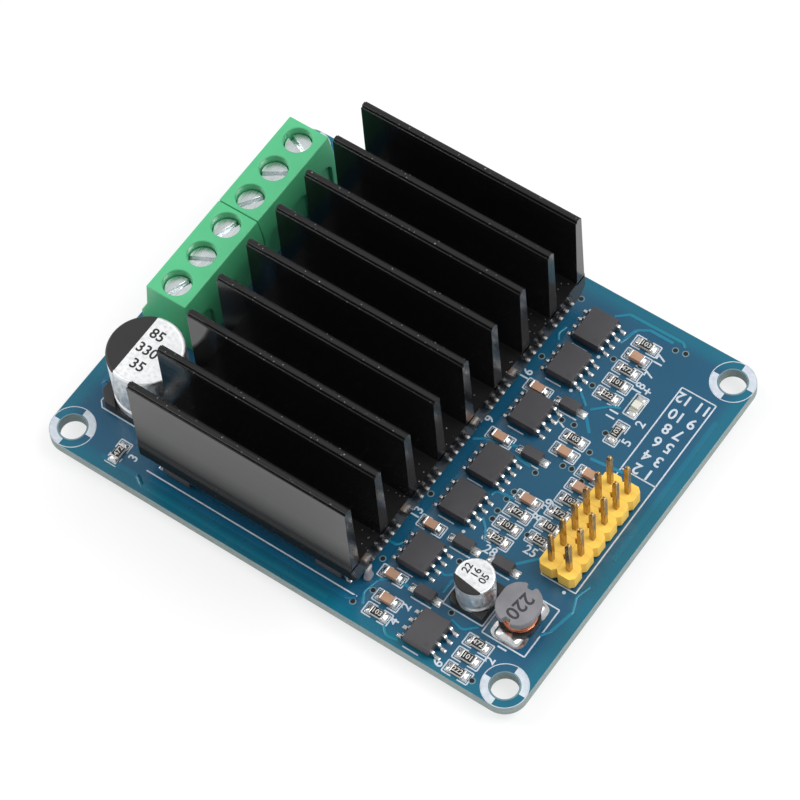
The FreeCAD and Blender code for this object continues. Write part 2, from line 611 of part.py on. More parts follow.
def make_diodes():
    """The bootstrap diodes and the supply diode: drafted bodies on a flat lead at either end."""
    places = [(f"{DRIVER_X} + <BootDiodeShift>", y) for y in boot_rows()]
    places.append((f"{BOARD_RIGHT} - <SteeringDiodeSetback>", "<SteeringDiodeY>"))
    upper = "<DiodeHeight> / 2"
    lower = "<DiodeHeight> / 2 - <LeadThickness> / 2"
    for index, (x, y) in enumerate(places, start=1):
        body = new_body(f"diode_{index}", x=x, y=y, z=BOARD_TOP)
        for backwards, height in ((False, upper), (True, lower)):
            outline = new_sketch(body, "XY_Plane", upper)
            half_x, half_y = "<DiodeLength> / 2", "<DiodeWidth> / 2"
            draw_rectangle(outline, f"-{half_x}", f"-{half_y}", half_x, half_y)
            pad(body, outline, height, backwards=backwards, draft="-<PackageDraft>")
        leads = new_sketch(body, "XY_Plane")
        half_x, half_y = "<DiodeSpan> / 2", "<DiodeLeadWidth> / 2"
        draw_rectangle(leads, f"-{half_x}", f"-{half_y}", half_x, half_y)
        pad(body, leads, "<LeadThickness>")


def make_terminal_blocks():
    """The moulded terminal housings: for each pole a well, a clamp chamber, a wire entry and an arch."""
    length = "<PolePitch> * <PolesPerBlock>"
    for index in range(round(number("<BlockCount>"))):
        front_x, start_y = f"{BOARD_LEFT} + <BlockSetback>", f"{BLOCK_START_Y} + {index} * ({length})"
        body = new_body(f"terminal_block_{index + 1}", x=front_x, y=start_y, z=BOARD_TOP)
        section = new_sketch(body, "XZ_Plane", "-<BlockClearance> / 2")
        draw_polygon(section, [
            ("0", "0"),
            ("<BlockDepth>", "0"),
            ("<BlockDepth>", "<BlockRearTop>"),
            ("<BlockDepth> - <BlockRearInset>", "<BlockHeight>"),
            ("<BlockTopInset>", "<BlockHeight>"),
            ("<BlockFrontInset>", "<BlockSlopeTop>"),
            ("0", "<BlockFootHeight>"),
        ])
        pad(body, section, f"{length} - <BlockClearance>", backwards=True)
        pole = "<PolePitch> / 2"

        chamber = new_sketch(body, "XY_Plane")
        front = "<ScrewAxisDepth> - <ChamberFront>"
        draw_rectangle(chamber, front, f"{pole} - <ChamberWidth> / 2",
                       f"{front} + <ChamberDepth>", f"{pole} + <ChamberWidth> / 2")
        well = new_sketch(body, "XY_Plane", "<BlockHeight>")
        draw_circle(well, "<ScrewAxisDepth>", pole, "<WellDiameter> / 2")
        hole = new_sketch(body, "XY_Plane", "<BlockHeight>")
        draw_eight_sided(hole, "<ScrewAxisDepth>", pole, "<ShankDiameter> / 2 + <ScrewHoleClearance>")
        entry = new_sketch(body, "YZ_Plane")
        crown, shoulder = "<WireSill> + <WireHeight>", "<WireSill> + <WireHeight> - <WireCorner>"
        near, far = f"{pole} - <WireWidth> / 2", f"{pole} + <WireWidth> / 2"
        draw_polygon(entry, [
            (near, "<WireSill>"), (far, "<WireSill>"), (far, shoulder),
            (f"{far} - <WireCorner>", crown), (f"{near} + <WireCorner>", crown), (near, shoulder),
        ])
        arch = new_sketch(body, "YZ_Plane", "<BlockDepth>")
        draw_arch(arch, pole, "<ArchWidth> / 2", "0", "<ArchHeight>")
        cuts = [
            pocket(body, chamber, "<ShoulderBottom>", backwards=True),
            pocket(body, well, "<BlockHeight> - <ShoulderTop>"),
            pocket(body, hole, "<BlockHeight> - <ShoulderBottom>"),
            pocket(body, entry, front, backwards=True),
            pocket(body, arch, "<ArchDepth>"),
        ]
        repeat(body, cuts, chamber, "V_Axis", "<PolePitch>", "<PolesPerBlock>")


def make_clamps():
    """For each pole: the slotted screw, turned as it was left, and the opened clamp that it lifts."""
    for index in range(round(number(POLE_COUNT))):
        y = f"{FIRST_POLE_Y} + {index} * <PolePitch>"
        turn = SLOT_ANGLES[index % len(SLOT_ANGLES)]
        screw = new_body(f"terminal_screw_{index + 1}", x=SCREW_X, y=y, z=BOARD_TOP, turn=turn)
        seat = "<ShoulderTop> + <HeadSeatGap>"
        crown = f"{seat} + <HeadHeight>"
        end = f"{BAR_TOP} + <ContactGap>"
        disc = new_sketch(screw, "XY_Plane", seat)
        draw_circle(disc, "0", "0", "<HeadDiameter> / 2")
        pad(screw, disc, "<HeadHeight>")
        shank = new_sketch(screw, "XY_Plane", seat)
        draw_eight_sided(shank, "0", "0", "<ShankDiameter> / 2 * cos(22.5 deg)")
        pad(screw, shank, f"{seat} - ({end})", backwards=True)
        slot = new_sketch(screw, "XY_Plane", crown)
        draw_rectangle(slot, "-<HeadDiameter>", "-<SlotWidth> / 2", "<HeadDiameter>", "<SlotWidth> / 2")
        pocket(screw, slot, "<SlotDepth>")

        clamp = new_body(f"wire_clamp_{index + 1}", x=SCREW_X, y=y, z=f"{BOARD_TOP} + <ClampLift>")
        block = new_sketch(clamp, "XY_Plane")
        half_x, half_y = "<ClampLength> / 2", "<ClampWidth> / 2"
        draw_rectangle(block, f"-{half_x}", f"-{half_y}", half_x, half_y)
        pad(clamp, block, "<ClampHeight>")
        window = new_sketch(clamp, "YZ_Plane", "<ClampLength> / 2")
        half = "<ClampWidth> / 2 - <ClampWall>"
        draw_rectangle(window, f"-({half})", "<ClampWall>", half, f"<ClampWall> + {CLAMP_WINDOW}")
        pocket(clamp, window, "<ClampLength>")
        thread = new_sketch(clamp, "XY_Plane", "<ClampHeight>")
        draw_eight_sided(thread, "0", "0", "<ShankDiameter> / 2 + <ThreadClearance>")
        pocket(clamp, thread, "<ClampRoof>")


def make_contacts():
    """The contact bars that the clamps press wires to, bent down behind the clamp into solder pins."""
    rear = "<ClampLength> / 2 + <ContactReach>"
    knee = f"{BAR_TOP} - 2 * <ContactThickness>"
    for index in range(round(number(POLE_COUNT))):
        y = f"{FIRST_POLE_Y} + {index} * <PolePitch>"
        body = new_body(f"terminal_contact_{index + 1}", x=SCREW_X, y=y, z=BOARD_TOP)
        bar = new_sketch(body, "XZ_Plane")
        draw_polygon(bar, [
            ("-<ClampLength> / 2", BAR_TOP),
            ("-<ClampLength> / 2", f"{BAR_TOP} - <ContactThickness>"),
            (rear, f"{BAR_TOP} - <ContactThickness>"),
            (rear, knee),
            (f"{rear} + <ContactThickness>", knee),
            (f"{rear} + <ContactThickness>", BAR_TOP),
        ])
        pad(body, bar, "<ContactWidth>", symmetric=True)
        leg = new_sketch(body, "XY_Plane", f"{BAR_TOP} - <ContactThickness>")
        side = "<ContactPinWidth> / 2"
        draw_rectangle(leg, rear, f"-{side}", f"{rear} + <ContactThickness>", side)
        pad(body, leg, f"{BAR_TOP} - <ContactThickness> + {BOARD_TOP}", backwards=True)


def make_header():
    """The pin header: an insulator of eight-sided cells and the square pins that pass through it."""
    insulator = new_body("header_insulator", x=HEADER_FIRST_X, y=HEADER_FIRST_Y, z=BOARD_TOP)
    across = "<HeaderPitch> / 2"
    near, far = f"-({across})", f"<HeaderPitch> * (<HeaderRows> - 1) + {across}"
    corner = f"({across} - <HeaderChamfer>)"
    cell = new_sketch(insulator, "XY_Plane")
    draw_polygon(cell, [
        (near, f"-{corner}"), (f"{near} + <HeaderChamfer>", f"-({across})"),
        (f"{far} - <HeaderChamfer>", f"-({across})"), (far, f"-{corner}"),
        (far, corner), (f"{far} - <HeaderChamfer>", across),
        (f"{near} + <HeaderChamfer>", across), (near, corner),
    ])
    block = pad(insulator, cell, "<HeaderHeight>")
    repeat(insulator, [block], cell, "V_Axis", "<HeaderPitch>", "<HeaderColumns>")
    bore = new_sketch(insulator, "XY_Plane", "<HeaderHeight>")
    bore_half = "<PinWidth> / 2 + <PinSlip>"
    draw_rectangle(bore, f"-({bore_half})", f"-({bore_half})", bore_half, bore_half)
    passage = pocket(insulator, bore, "<HeaderHeight>")
    repeat(insulator, [passage], bore, "H_Axis", "<HeaderPitch>", "<HeaderRows>",
           second=("V_Axis", "<HeaderPitch>", "<HeaderColumns>"))

    pins = new_body("header_pins", x=HEADER_FIRST_X, y=HEADER_FIRST_Y, several=True)
    square = new_sketch(pins, "XY_Plane")
    draw_rectangle(square, "-<PinWidth> / 2", "-<PinWidth> / 2", "<PinWidth> / 2", "<PinWidth> / 2")
    shaft = pad(pins, square, f"{BOARD_TOP} + <PinHeight>")
    tip = edges_where(shaft, lambda start, end: min(start.z, end.z) > number(BOARD_TOP))
    tapered = dress(pins, "Chamfer", shaft, tip, "<PinTaper>")
    repeat(pins, [shaft, tapered], square, "H_Axis", "<HeaderPitch>", "<HeaderRows>",
           second=("V_Axis", "<HeaderPitch>", "<HeaderColumns>"))


def add_electrolytic(name, size, x, y, crimped):
    """A surface-mount electrolytic capacitor: a can on a square base, rolled in at the foot if crimped."""
    base = new_body(f"{name}_base", x=x, y=y, z=BOARD_TOP)
    half, mark = f"<{size}Base> / 2", f"<{size}Mark>"
    plate = new_sketch(base, "XY_Plane")
    draw_polygon(plate, [
        (f"-{half}", f"{mark} - {half}"), (f"{mark} - {half}", f"-{half}"), (half, f"-{half}"),
        (half, half), (f"{mark} - {half}", half), (f"-{half}", f"{half} - {mark}"),
    ])
    pad(base, plate, f"<{size}Floor>")
    corner = new_sketch(base, "XY_Plane", f"<{size}Floor>")
    inner = f"(({half}) - (<{size}Base> - sqrt(2) * (<{size}Diameter> / 2 + <CanClearance>)))"
    for up in ("", "-"):
        draw_polygon(corner, [(half, f"{up}({inner})"), (half, f"{up}({half})"), (inner, f"{up}({half})")])
        draw_polygon(corner, [
            (f"-({half})", f"{up}({inner})"), (f"-({half})", f"{up}({half} - {mark})"),
            (f"{mark} - {half}", f"{up}({half})"), (f"-({inner})", f"{up}({half})"),
        ])
    pad(base, corner, f"<{size}Lug>")

    can = new_body(f"{name}_can", x=x, y=y, z=f"{BOARD_TOP} + <{size}Floor>")
    radius, height = f"<{size}Diameter> / 2", f"(<{size}Height> - <{size}Floor>)"
    waist = []
    if crimped:
        groove = f"<CrimpDepth> * <{size}Diameter>"
        middle = f"<CrimpHeight> * {height} + <{size}Lug>"
        waist = [
            (radius, f"{middle} - {groove}"),
            (f"{radius} - {groove}", middle),
            (radius, f"{middle} + {groove}"),
        ]
    profile = new_sketch(can, "XZ_Plane")
    draw_polygon(profile, [("0", "0"), (radius, "0"), *waist, (radius, height), ("0", height)])
    turned(can, profile)


def make_inductor():
    """The power inductor: a ferrite spool with flat sides and wire notches, and its winding."""
    x, y = f"{BOARD_RIGHT} - <CoilSetback>", "<CoilY>"
    core = new_body("inductor_core", x=x, y=y, z=BOARD_TOP)
    edge, waist = "<CoilLength> / 2", "<CoilPost>"
    profile = new_sketch(core, "XZ_Plane")
    draw_polygon(profile, [
        ("0", "0"),
        (edge, "0"),
        (edge, "<CoilFlange>"),
        (waist, "<CoilFlange>"),
        (waist, "<CoilHeight> - <CoilFlange>"),
        (edge, "<CoilHeight> - <CoilFlange>"),
        (edge, "<CoilHeight>"),
        ("0", "<CoilHeight>"),
    ])
    turned(core, profile)
    flats = new_sketch(core, "XY_Plane", "<CoilHeight>")
    for near, far in (("<CoilWidth> / 2", "<CoilLength>"), ("-<CoilLength>", "-<CoilWidth> / 2")):
        draw_rectangle(flats, near, "-<CoilLength>", far, "<CoilLength>")
    pocket(core, flats, "<CoilHeight>")
    notches = new_sketch(core, "XY_Plane", "<CoilHeight>")
    outside = "<CoilLength>"
    for near, far in ((f"{edge} - <CoilNotch>", outside), (f"-{outside}", f"<CoilNotch> - {edge}")):
        draw_rectangle(notches, "-<CoilNotch>", near, "<CoilNotch>", far)
    pocket(core, notches, "<CoilHeight>")

    winding = new_body("inductor_winding", x=x, y=y, z=BOARD_TOP)
    turns = new_sketch(winding, "XZ_Plane")
    outer, top = "<CoilWidth> / 2 - <CoilWire>", "<CoilHeight> - <CoilFlange>"
    draw_rectangle(turns, waist, "<CoilFlange>", outer, top)
    turned(winding, turns)


def check_model():
    """Stop if any object failed to build or any sub-part is not a sound solid."""
    document.recompute()
    for thing in document.Objects:
        if "Invalid" in thing.State or "Error" in thing.State:
            raise RuntimeError(f"{thing.Label} ({thing.Name}) failed: {thing.State}")
    for node in nodes:
        shape = node.Shape
        if shape.isNull() or not shape.isValid() or not shape.Solids:
            raise RuntimeError(f"{node.Label} has no sound shape")


def write_parts():
    """Write each sub-part to a file of its own name."""
    os.makedirs("parts", exist_ok=True)
    for node in nodes:
        node.Shape.exportStep(f"parts/{node.Label}.step")
        print(f"{node.Label}: {len(node.Shape.Solids)} solids, {node.Shape.Volume:.1f} cubic millimetres")


fill_sheet()
make_board()
make_heatsink()
make_adhesive()
make_packages()
make_chips()
make_lamp()
make_diodes()
make_terminal_blocks()
make_clamps()
make_contacts()
make_header()
add_electrolytic("bulk_capacitor", "Bulk", f"{SINK_LEFT} - <BulkSinkGap> - <BulkBase> / 2", BULK_Y,
                 crimped=True)
add_electrolytic("small_capacitor", "Small", f"{BOARD_RIGHT} - <SmallSetback>", "<SmallY>", crimped=False)
make_inductor()
check_model()
write_parts()
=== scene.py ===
"""A two-channel motor driver board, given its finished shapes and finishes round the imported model.

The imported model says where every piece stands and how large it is. Sizes here are in millimetres in the
model's own frame: X runs from the screw terminals to the pin header, Y along the row of terminals, and Z up
from the tips of the leads under the board.
"""

import logging
import math
from dataclasses import dataclass
from enum import Enum
from typing import Callable, Iterable, Optional, Sequence

import bmesh
import bpy
from mathutils import Matrix, Vector


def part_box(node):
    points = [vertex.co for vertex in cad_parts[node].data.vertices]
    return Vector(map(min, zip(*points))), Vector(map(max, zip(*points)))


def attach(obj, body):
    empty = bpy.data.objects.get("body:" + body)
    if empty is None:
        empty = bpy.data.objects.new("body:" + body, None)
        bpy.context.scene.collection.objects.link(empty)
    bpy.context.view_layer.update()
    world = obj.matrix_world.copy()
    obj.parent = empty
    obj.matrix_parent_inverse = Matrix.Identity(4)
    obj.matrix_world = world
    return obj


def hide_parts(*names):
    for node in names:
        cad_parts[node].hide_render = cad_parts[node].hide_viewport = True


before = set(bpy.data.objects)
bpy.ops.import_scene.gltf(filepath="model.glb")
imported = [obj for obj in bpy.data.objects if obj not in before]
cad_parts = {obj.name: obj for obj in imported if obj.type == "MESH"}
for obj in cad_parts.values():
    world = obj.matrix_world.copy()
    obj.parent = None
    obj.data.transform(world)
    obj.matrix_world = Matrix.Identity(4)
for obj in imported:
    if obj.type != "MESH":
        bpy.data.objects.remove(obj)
log = logging.getLogger("driver_board")

MILLIMETRE = 0.001
MODULE = "module"

Pair = tuple[float, float]
Point = tuple[float, float, float]
Ring = list[Point]
Colour = tuple[float, float, float]
Socket = bpy.types.NodeSocket
Tree = bpy.types.NodeTree
Mesh = bpy.types.Mesh


class Slot(Enum):
    """The record's material slots."""

    BOARD = "board"
    HEATSINK = "heatsink"
    ADHESIVE = "adhesive"
    PACKAGE = "package"
    RESISTOR = "resistor"
    CERAMIC = "ceramic"
    LAMP = "lamp"
    TERMINAL = "terminal"
    SCREW = "screw"
    CLAMP = "clamp"
    CONTACT = "contact"
    INSULATOR = "insulator"
    PIN = "pin"
    CAN = "can"
    BASE = "base"
    FERRITE = "ferrite"
    COPPER = "copper"


def screen_colour(red: int, green: int, blue: int) -> Colour:
    """Turn a colour as a screen shows it, 0 to 255, into the linear values that shaders use.

    Args:
        red: Red level.
        green: Green level.
        blue: Blue level.

    Returns:
        The linear colour.
    """
    def straight(level: int) -> float:
        """One linear channel."""
        share = level / 255
        return share / 12.92 if share <= 0.04045 else ((share + 0.055) / 1.055) ** 2.4
    return (straight(red), straight(green), straight(blue))


# Shader node groups and finishes


def built_once(build: Callable[[str], Tree]) -> Callable[[], Tree]:
    """Make a function that builds a node tree build it once only, under the function's own name.

    Args:
        build: The function; it is given the tree's name.

    Returns:
        A function that gives the tree.
    """
    def tree() -> Tree:
        """The tree, built at the first call."""
        return bpy.data.node_groups.get(build.__name__) or build(build.__name__)
    return tree


class EffectSketch:
    """A shader node group being written."""

    def __init__(self, name: str, output: str, **inputs: object) -> None:
        """Start a group.

        Args:
            name: The group's name.
            output: Name of its one output, a value.
            **inputs: Defaults of its inputs after Vector, a number or a vector each, underscores for spaces.
        """
        self.tree = bpy.data.node_groups.new(name, "ShaderNodeTree")
        for label, default in {"Vector": None, **inputs}.items():
            kind = "NodeSocketFloat" if isinstance(default, float) else "NodeSocketVector"
            socket = self.tree.interface.new_socket(label.replace("_", " "), in_out="INPUT", socket_type=kind)
            if default is not None:
                socket.default_value = default
        self.tree.interface.new_socket(output, in_out="OUTPUT", socket_type="NodeSocketFloat")
        self.given = self.tree.nodes.new("NodeGroupInput").outputs
        self.leave = self.tree.nodes.new("NodeGroupOutput").inputs[0]

    def add(self, kind: str, links: Optional[dict[object, Socket]] = None,
            **settings: object) -> bpy.types.Node:
        """Add a node.

        Args:
            kind: Its type, after "ShaderNode".
            links: Sockets to link, by the input's name or number.
            **settings: The node's own properties.

        Returns:
            The node.
        """
        node = self.tree.nodes.new(f"ShaderNode{kind}")
        for name, value in settings.items():
            setattr(node, name, value)
        for name, socket in (links or {}).items():
            self.tree.links.new(socket, node.inputs[name])
        return node

    def close(self, value: Socket) -> Tree:
        """Give a value as the group's result."""
        self.tree.links.new(value, self.leave)
        return self.tree

    def spread_noise(self, place: Socket, detail: float | Socket, low: float, high: float) -> Tree:
        """End a group with noise that is spread between its Low and High inputs.

        Args:
            place: Where the noise is read.
            detail: Its detail.
            low: Noise that counts as Low.
            high: Noise that counts as High.

        Returns:
            The finished group.
        """
        noise = self.add("TexNoise", {"Vector": place, "Scale": self.given["Scale"]})
        if isinstance(detail, Socket):
            self.tree.links.new(detail, noise.inputs["Detail"])
        else:
            noise.inputs["Detail"].default_value = detail
        spread = self.add("MapRange", {"Value": noise.outputs["Fac"], "To Min": self.given["Low"],
                                       "To Max": self.given["High"]})
        spread.inputs["From Min"].default_value = low
        spread.inputs["From Max"].default_value = high
        return self.close(spread.outputs["Result"])


class SharedEffects:
    """Node groups that several materials place with their own values."""

    @staticmethod
    @built_once
    def mottle(name: str) -> Tree:
        """Soft clouds between a low and a high value."""
        sketch = EffectSketch(name, "Value", Scale=200.0, Detail=3.0, Low=0.0, High=1.0)
        return sketch.spread_noise(sketch.given["Vector"], sketch.given["Detail"], 0.32, 0.68)

    @staticmethod
    @built_once
    def streaks(name: str) -> Tree:
        """Fine parallel marks left by rolling, drawing or extruding."""
        sketch = EffectSketch(name, "Value", Stretch=(1.0, 1.0, 1.0), Scale=2000.0, Low=0.0, High=1.0)
        stretch = sketch.add("VectorMath", {0: sketch.given["Vector"], 1: sketch.given["Stretch"]},
                             operation="MULTIPLY")
        return sketch.spread_noise(stretch.outputs["Vector"], 5.0, 0.3, 0.7)

    @staticmethod
    @built_once
    def specks(name: str) -> Tree:
        """Scattered specks of dust or pits: 1 on a speck, 0 elsewhere."""
        sketch = EffectSketch(name, "Mask", Scale=800.0, Size=0.12, Share=0.1)
        cells = sketch.add("TexVoronoi", {"Vector": sketch.given["Vector"], "Scale": sketch.given["Scale"]})
        split = sketch.add("SeparateColor", {"Color": cells.outputs["Color"]})
        close = sketch.add("Math", {0: cells.outputs["Distance"], 1: sketch.given["Size"]},
                           operation="LESS_THAN")
        chosen = sketch.add("Math", {0: split.outputs["Red"], 1: sketch.given["Share"]},
                            operation="LESS_THAN")
        both = sketch.add("Math", {0: close.outputs["Value"], 1: chosen.outputs["Value"]},
                          operation="MULTIPLY")
        return sketch.close(both.outputs["Value"])

    @staticmethod
    @built_once
    def weave(name: str) -> Tree:
        """The square weave of glass cloth: two crossed sets of soft ridges."""
        sketch = EffectSketch(name, "Height", Threads=2000.0)
        total = sketch.add("Math", operation="MULTIPLY")
        for index, direction in enumerate(("X", "Y")):
            wave = sketch.add("TexWave", {"Vector": sketch.given["Vector"], "Scale": sketch.given["Threads"]},
                              bands_direction=direction)
            wave.inputs["Distortion"].default_value = 0.4
            sketch.tree.links.new(wave.outputs["Fac"], total.inputs[index])
        return sketch.close(total.outputs["Value"])

    @staticmethod
    @built_once
    def ramp(name: str) -> Tree:
        """A value that rises from 0 to 1 along a direction."""
        sketch = EffectSketch(name, "Value", Direction=(0.0, 0.0, 1.0), Start=0.0, End=0.001)
        along = sketch.add("VectorMath", {0: sketch.given["Vector"], 1: sketch.given["Direction"]},
                           operation="DOT_PRODUCT")
        spread = sketch.add("MapRange", {"Value": along.outputs["Value"], "From Min": sketch.given["Start"],
                                         "From Max": sketch.given["End"]})
        return sketch.close(spread.outputs["Result"])

    @staticmethod
    @built_once
    def border(name: str) -> Tree:
        """A band that fades in towards the rim of a level rectangle about the origin."""
        sketch = EffectSketch(name, "Mask", Half_X=0.03, Half_Y=0.02, Width=0.002)
        split = sketch.add("SeparateXYZ", {"Vector": sketch.given["Vector"]})
        nearer = sketch.add("Math", operation="MAXIMUM")
        for index, axis in enumerate("XY"):
            size = sketch.add("Math", {0: split.outputs[axis]}, operation="ABSOLUTE")
            beyond = sketch.add("Math", {0: size.outputs["Value"], 1: sketch.given[f"Half {axis}"]},
                                operation="SUBTRACT")
            sketch.tree.links.new(beyond.outputs["Value"], nearer.inputs[index])
        share = sketch.add("Math", {0: nearer.outputs["Value"], 1: sketch.given["Width"]}, operation="DIVIDE",
                           use_clamp=True)
        return sketch.close(share.outputs["Value"])


class ShaderSheet:
    """One material's node tree, with the calls that dressing it needs."""

    def __init__(self, name: str) -> None:
        """Start a material with a Principled shader and Object coordinates."""
        self.material = bpy.data.materials.new(name)
        self.material.use_nodes = True
        self.tree = self.material.node_tree
        self.tree.nodes.clear()
        self.output = self.add("ShaderNodeOutputMaterial")
        self.shader = self.add("ShaderNodeBsdfPrincipled")
        self.link(self.shader.outputs["BSDF"], self.output.inputs["Surface"])
        coordinates = self.add("ShaderNodeTexCoord")
        self.place, self.facing = coordinates.outputs["Object"], coordinates.outputs["Normal"]

    def add(self, kind: str, **settings: object) -> bpy.types.Node:
        """Add a node and set its properties.

        Args:
            kind: The node's type.
            **settings: Properties by name.

        Returns:
            The node.
        """
        node = self.tree.nodes.new(kind)
        for name, value in settings.items():
            setattr(node, name, value)
        return node

    def link(self, source: Socket, target: Socket) -> None:
        """Link two sockets."""
        self.tree.links.new(source, target)

    def effect(self, group: Tree, **values: object) -> Socket:
        """Place a shared effect with its own values.

        Args:
            group: The node group.
            **values: Input values by socket name.

        Returns:
            The group's first output.
        """
        node = self.add("ShaderNodeGroup", node_tree=group)
        self.link(self.place, node.inputs["Vector"])
        for name, value in values.items():
            node.inputs[name.replace("_", " ")].default_value = value
        return node.outputs[0]

    def blend(self, share: Socket, low: Colour, high: Colour) -> Socket:
        """Mix two colours by a mask.

        Args:
            share: The mask.
            low: Colour where the mask is 0.
            high: Colour where the mask is 1.

        Returns:
            The mixed colour.
        """
        mix = self.add("ShaderNodeMix", data_type="RGBA")
        self.link(share, mix.inputs["Factor"])
        mix.inputs["A"].default_value = (*low, 1.0)
        mix.inputs["B"].default_value = (*high, 1.0)
        return mix.outputs["Result"]

    def over(self, share: Socket, under: Socket, top: Colour) -> Socket:
        """Lay a plain colour over another by a mask.

        Args:
            share: The mask.
            under: The colour below.
            top: The plain colour on top.

        Returns:
            The mixed colour.
        """
        mix = self.add("ShaderNodeMix", data_type="RGBA")
        self.link(share, mix.inputs["Factor"])
        self.link(under, mix.inputs["A"])
        mix.inputs["B"].default_value = (*top, 1.0)
        return mix.outputs["Result"]

    def settled(self, mask: Socket, least: float) -> Socket:
        """Thin a mask of dust out on faces that don't look up.

        Args:
            mask: The mask.
            least: Its share on upright and lower faces.

        Returns:
            The thinned mask.
        """
        split = self.add("ShaderNodeSeparateXYZ")
        self.link(self.facing, split.inputs["Vector"])
        lie = self.add("ShaderNodeMath", operation="MAXIMUM")
        self.link(split.outputs["Z"], lie.inputs[0])
        lie.inputs[1].default_value = least
        kept = self.add("ShaderNodeMath", operation="MULTIPLY")
        self.link(mask, kept.inputs[0])
        self.link(lie.outputs["Value"], kept.inputs[1])
        return kept.outputs["Value"]

    def relief(self, height: Socket, depth: float) -> None:
        """Bump the surface.

        Args:
            height: The height, 0 to 1.
            depth: Its depth in millimetres.
        """
        bump = self.add("ShaderNodeBump")
        bump.inputs["Distance"].default_value = depth * MILLIMETRE
        self.link(height, bump.inputs["Height"])
        self.link(bump.outputs["Normal"], self.shader.inputs["Normal"])

    def set(self, **values: float) -> None:
        """Set plain numbers on the Principled shader, underscores standing for spaces."""
        for name, value in values.items():
            self.shader.inputs[name.replace("_", " ")].default_value = value


@dataclass(frozen=True)
class Finish:
    """A surface finish.

    Attributes:
        name: The material's name.
        colour: Main colour, linear.
        roughness: Mean roughness.
    """

    name: str
    colour: Colour
    roughness: float

    def material(self) -> bpy.types.Material:
        """The finish as a material, made once."""
        if self.name in bpy.data.materials:
            return bpy.data.materials[self.name]
        sheet = ShaderSheet(self.name)
        self.dress(sheet)
        return sheet.material

    def dress(self, sheet: ShaderSheet) -> None:
        """Build the finish's nodes on a sheet."""
        raise NotImplementedError

    def shade(self, factor: float) -> Colour:
        """The main colour made lighter or darker."""
        return tuple(min(1.0, channel * factor) for channel in self.colour)


@dataclass(frozen=True)
class MouldedPlastic(Finish):
    """Moulded or cast resin: fine spark-eroded grain, faint flow clouds and a few specks of dust.

    Attributes:
        grain: Grains over a millimetre.
        depth: Depth of the grain in millimetres.
        variation: How far the colour drifts.
        dust: Share of the dust cells that hold a speck.
    """

    grain: float = 9.0
    depth: float = 0.006
    variation: float = 0.10
    dust: float = 0.03

    def dress(self, sheet: ShaderSheet) -> None:
        """Build the finish's nodes on a sheet."""
        clouds = sheet.effect(SharedEffects.mottle(), Scale=260.0, Low=0.0, High=1.0)
        colour = sheet.blend(clouds, self.shade(1.0 - self.variation), self.shade(1.0 + self.variation))
        specks = sheet.effect(SharedEffects.specks(), Scale=900.0, Size=0.07, Share=self.dust)
        sheet.link(sheet.over(specks, colour, screen_colour(150, 150, 145)),
                   sheet.shader.inputs["Base Color"])
        gloss = sheet.effect(SharedEffects.mottle(), Scale=420.0, Detail=5.0,
                             Low=self.roughness - 0.06, High=self.roughness + 0.08)
        sheet.link(gloss, sheet.shader.inputs["Roughness"])
        grain = sheet.effect(SharedEffects.mottle(), Scale=self.grain / MILLIMETRE, Detail=2.0)
        sheet.relief(grain, self.depth)


@dataclass(frozen=True)
class WorkedMetal(Finish):
    """Bare or plated metal with drawing marks and patchy dullness.

    Attributes:
        stretch: How the marks run; a small number along an axis draws them out along it.
        marks: Marks over a millimetre, across their run.
        depth: Depth of the marks in millimetres.
        tarnish: How dark the dull patches are, 0 to 1.
    """

    stretch: Point = (1.0, 1.0, 1.0)
    marks: float = 6.0
    depth: float = 0.003
    tarnish: float = 0.25

    def dress(self, sheet: ShaderSheet) -> None:
        """Build the finish's nodes on a sheet."""
        dull = sheet.effect(SharedEffects.mottle(), Scale=700.0, Detail=4.0)
        colour = sheet.blend(dull, self.colour, self.shade(1.0 - self.tarnish))
        sheet.link(colour, sheet.shader.inputs["Base Color"])
        marks = sheet.effect(SharedEffects.streaks(), Stretch=self.stretch, Scale=self.marks / MILLIMETRE)
        gloss = sheet.effect(SharedEffects.streaks(), Stretch=self.stretch, Scale=self.marks / MILLIMETRE,
                             Low=self.roughness * 0.7, High=self.roughness * 1.35)
        sheet.link(gloss, sheet.shader.inputs["Roughness"])
        sheet.set(Metallic=1.0)
        sheet.relief(marks, self.depth)


@dataclass(frozen=True)
class SolderMask(Finish):
    """Glossy lacquer over glass cloth or copper: the weave shows faintly and the gloss is not quite even.

    Attributes:
        backing: Colour where the lacquer runs thinner over what it covers.
        rim: Colour near the board's rim, where no copper lies below.
    """

    backing: Colour = (0.0, 0.1, 0.2)
    rim: Colour = screen_colour(8, 98, 122)

    def dress(self, sheet: ShaderSheet) -> None:
        """Build the finish's nodes on a sheet."""
        clouds = sheet.effect(SharedEffects.mottle(), Scale=55.0, Detail=4.0)
        colour = sheet.blend(clouds, self.colour, self.backing)
        border = sheet.effect(SharedEffects.border(), Half_X=32.9 * MILLIMETRE, Half_Y=25.4 * MILLIMETRE,
                              Width=1.6 * MILLIMETRE)
        colour = sheet.over(border, colour, self.rim)
        dust = sheet.effect(SharedEffects.specks(), Scale=420.0, Size=0.07, Share=0.05)
        sheet.link(sheet.over(dust, colour, screen_colour(120, 150, 165)), sheet.shader.inputs["Base Color"])
        gloss = sheet.effect(SharedEffects.mottle(), Scale=240.0, Detail=5.0,
                             Low=self.roughness - 0.05, High=self.roughness + 0.07)
        sheet.link(gloss, sheet.shader.inputs["Roughness"])
        threads = sheet.effect(SharedEffects.weave(), Threads=520.0)
        sheet.relief(threads, 0.0035)


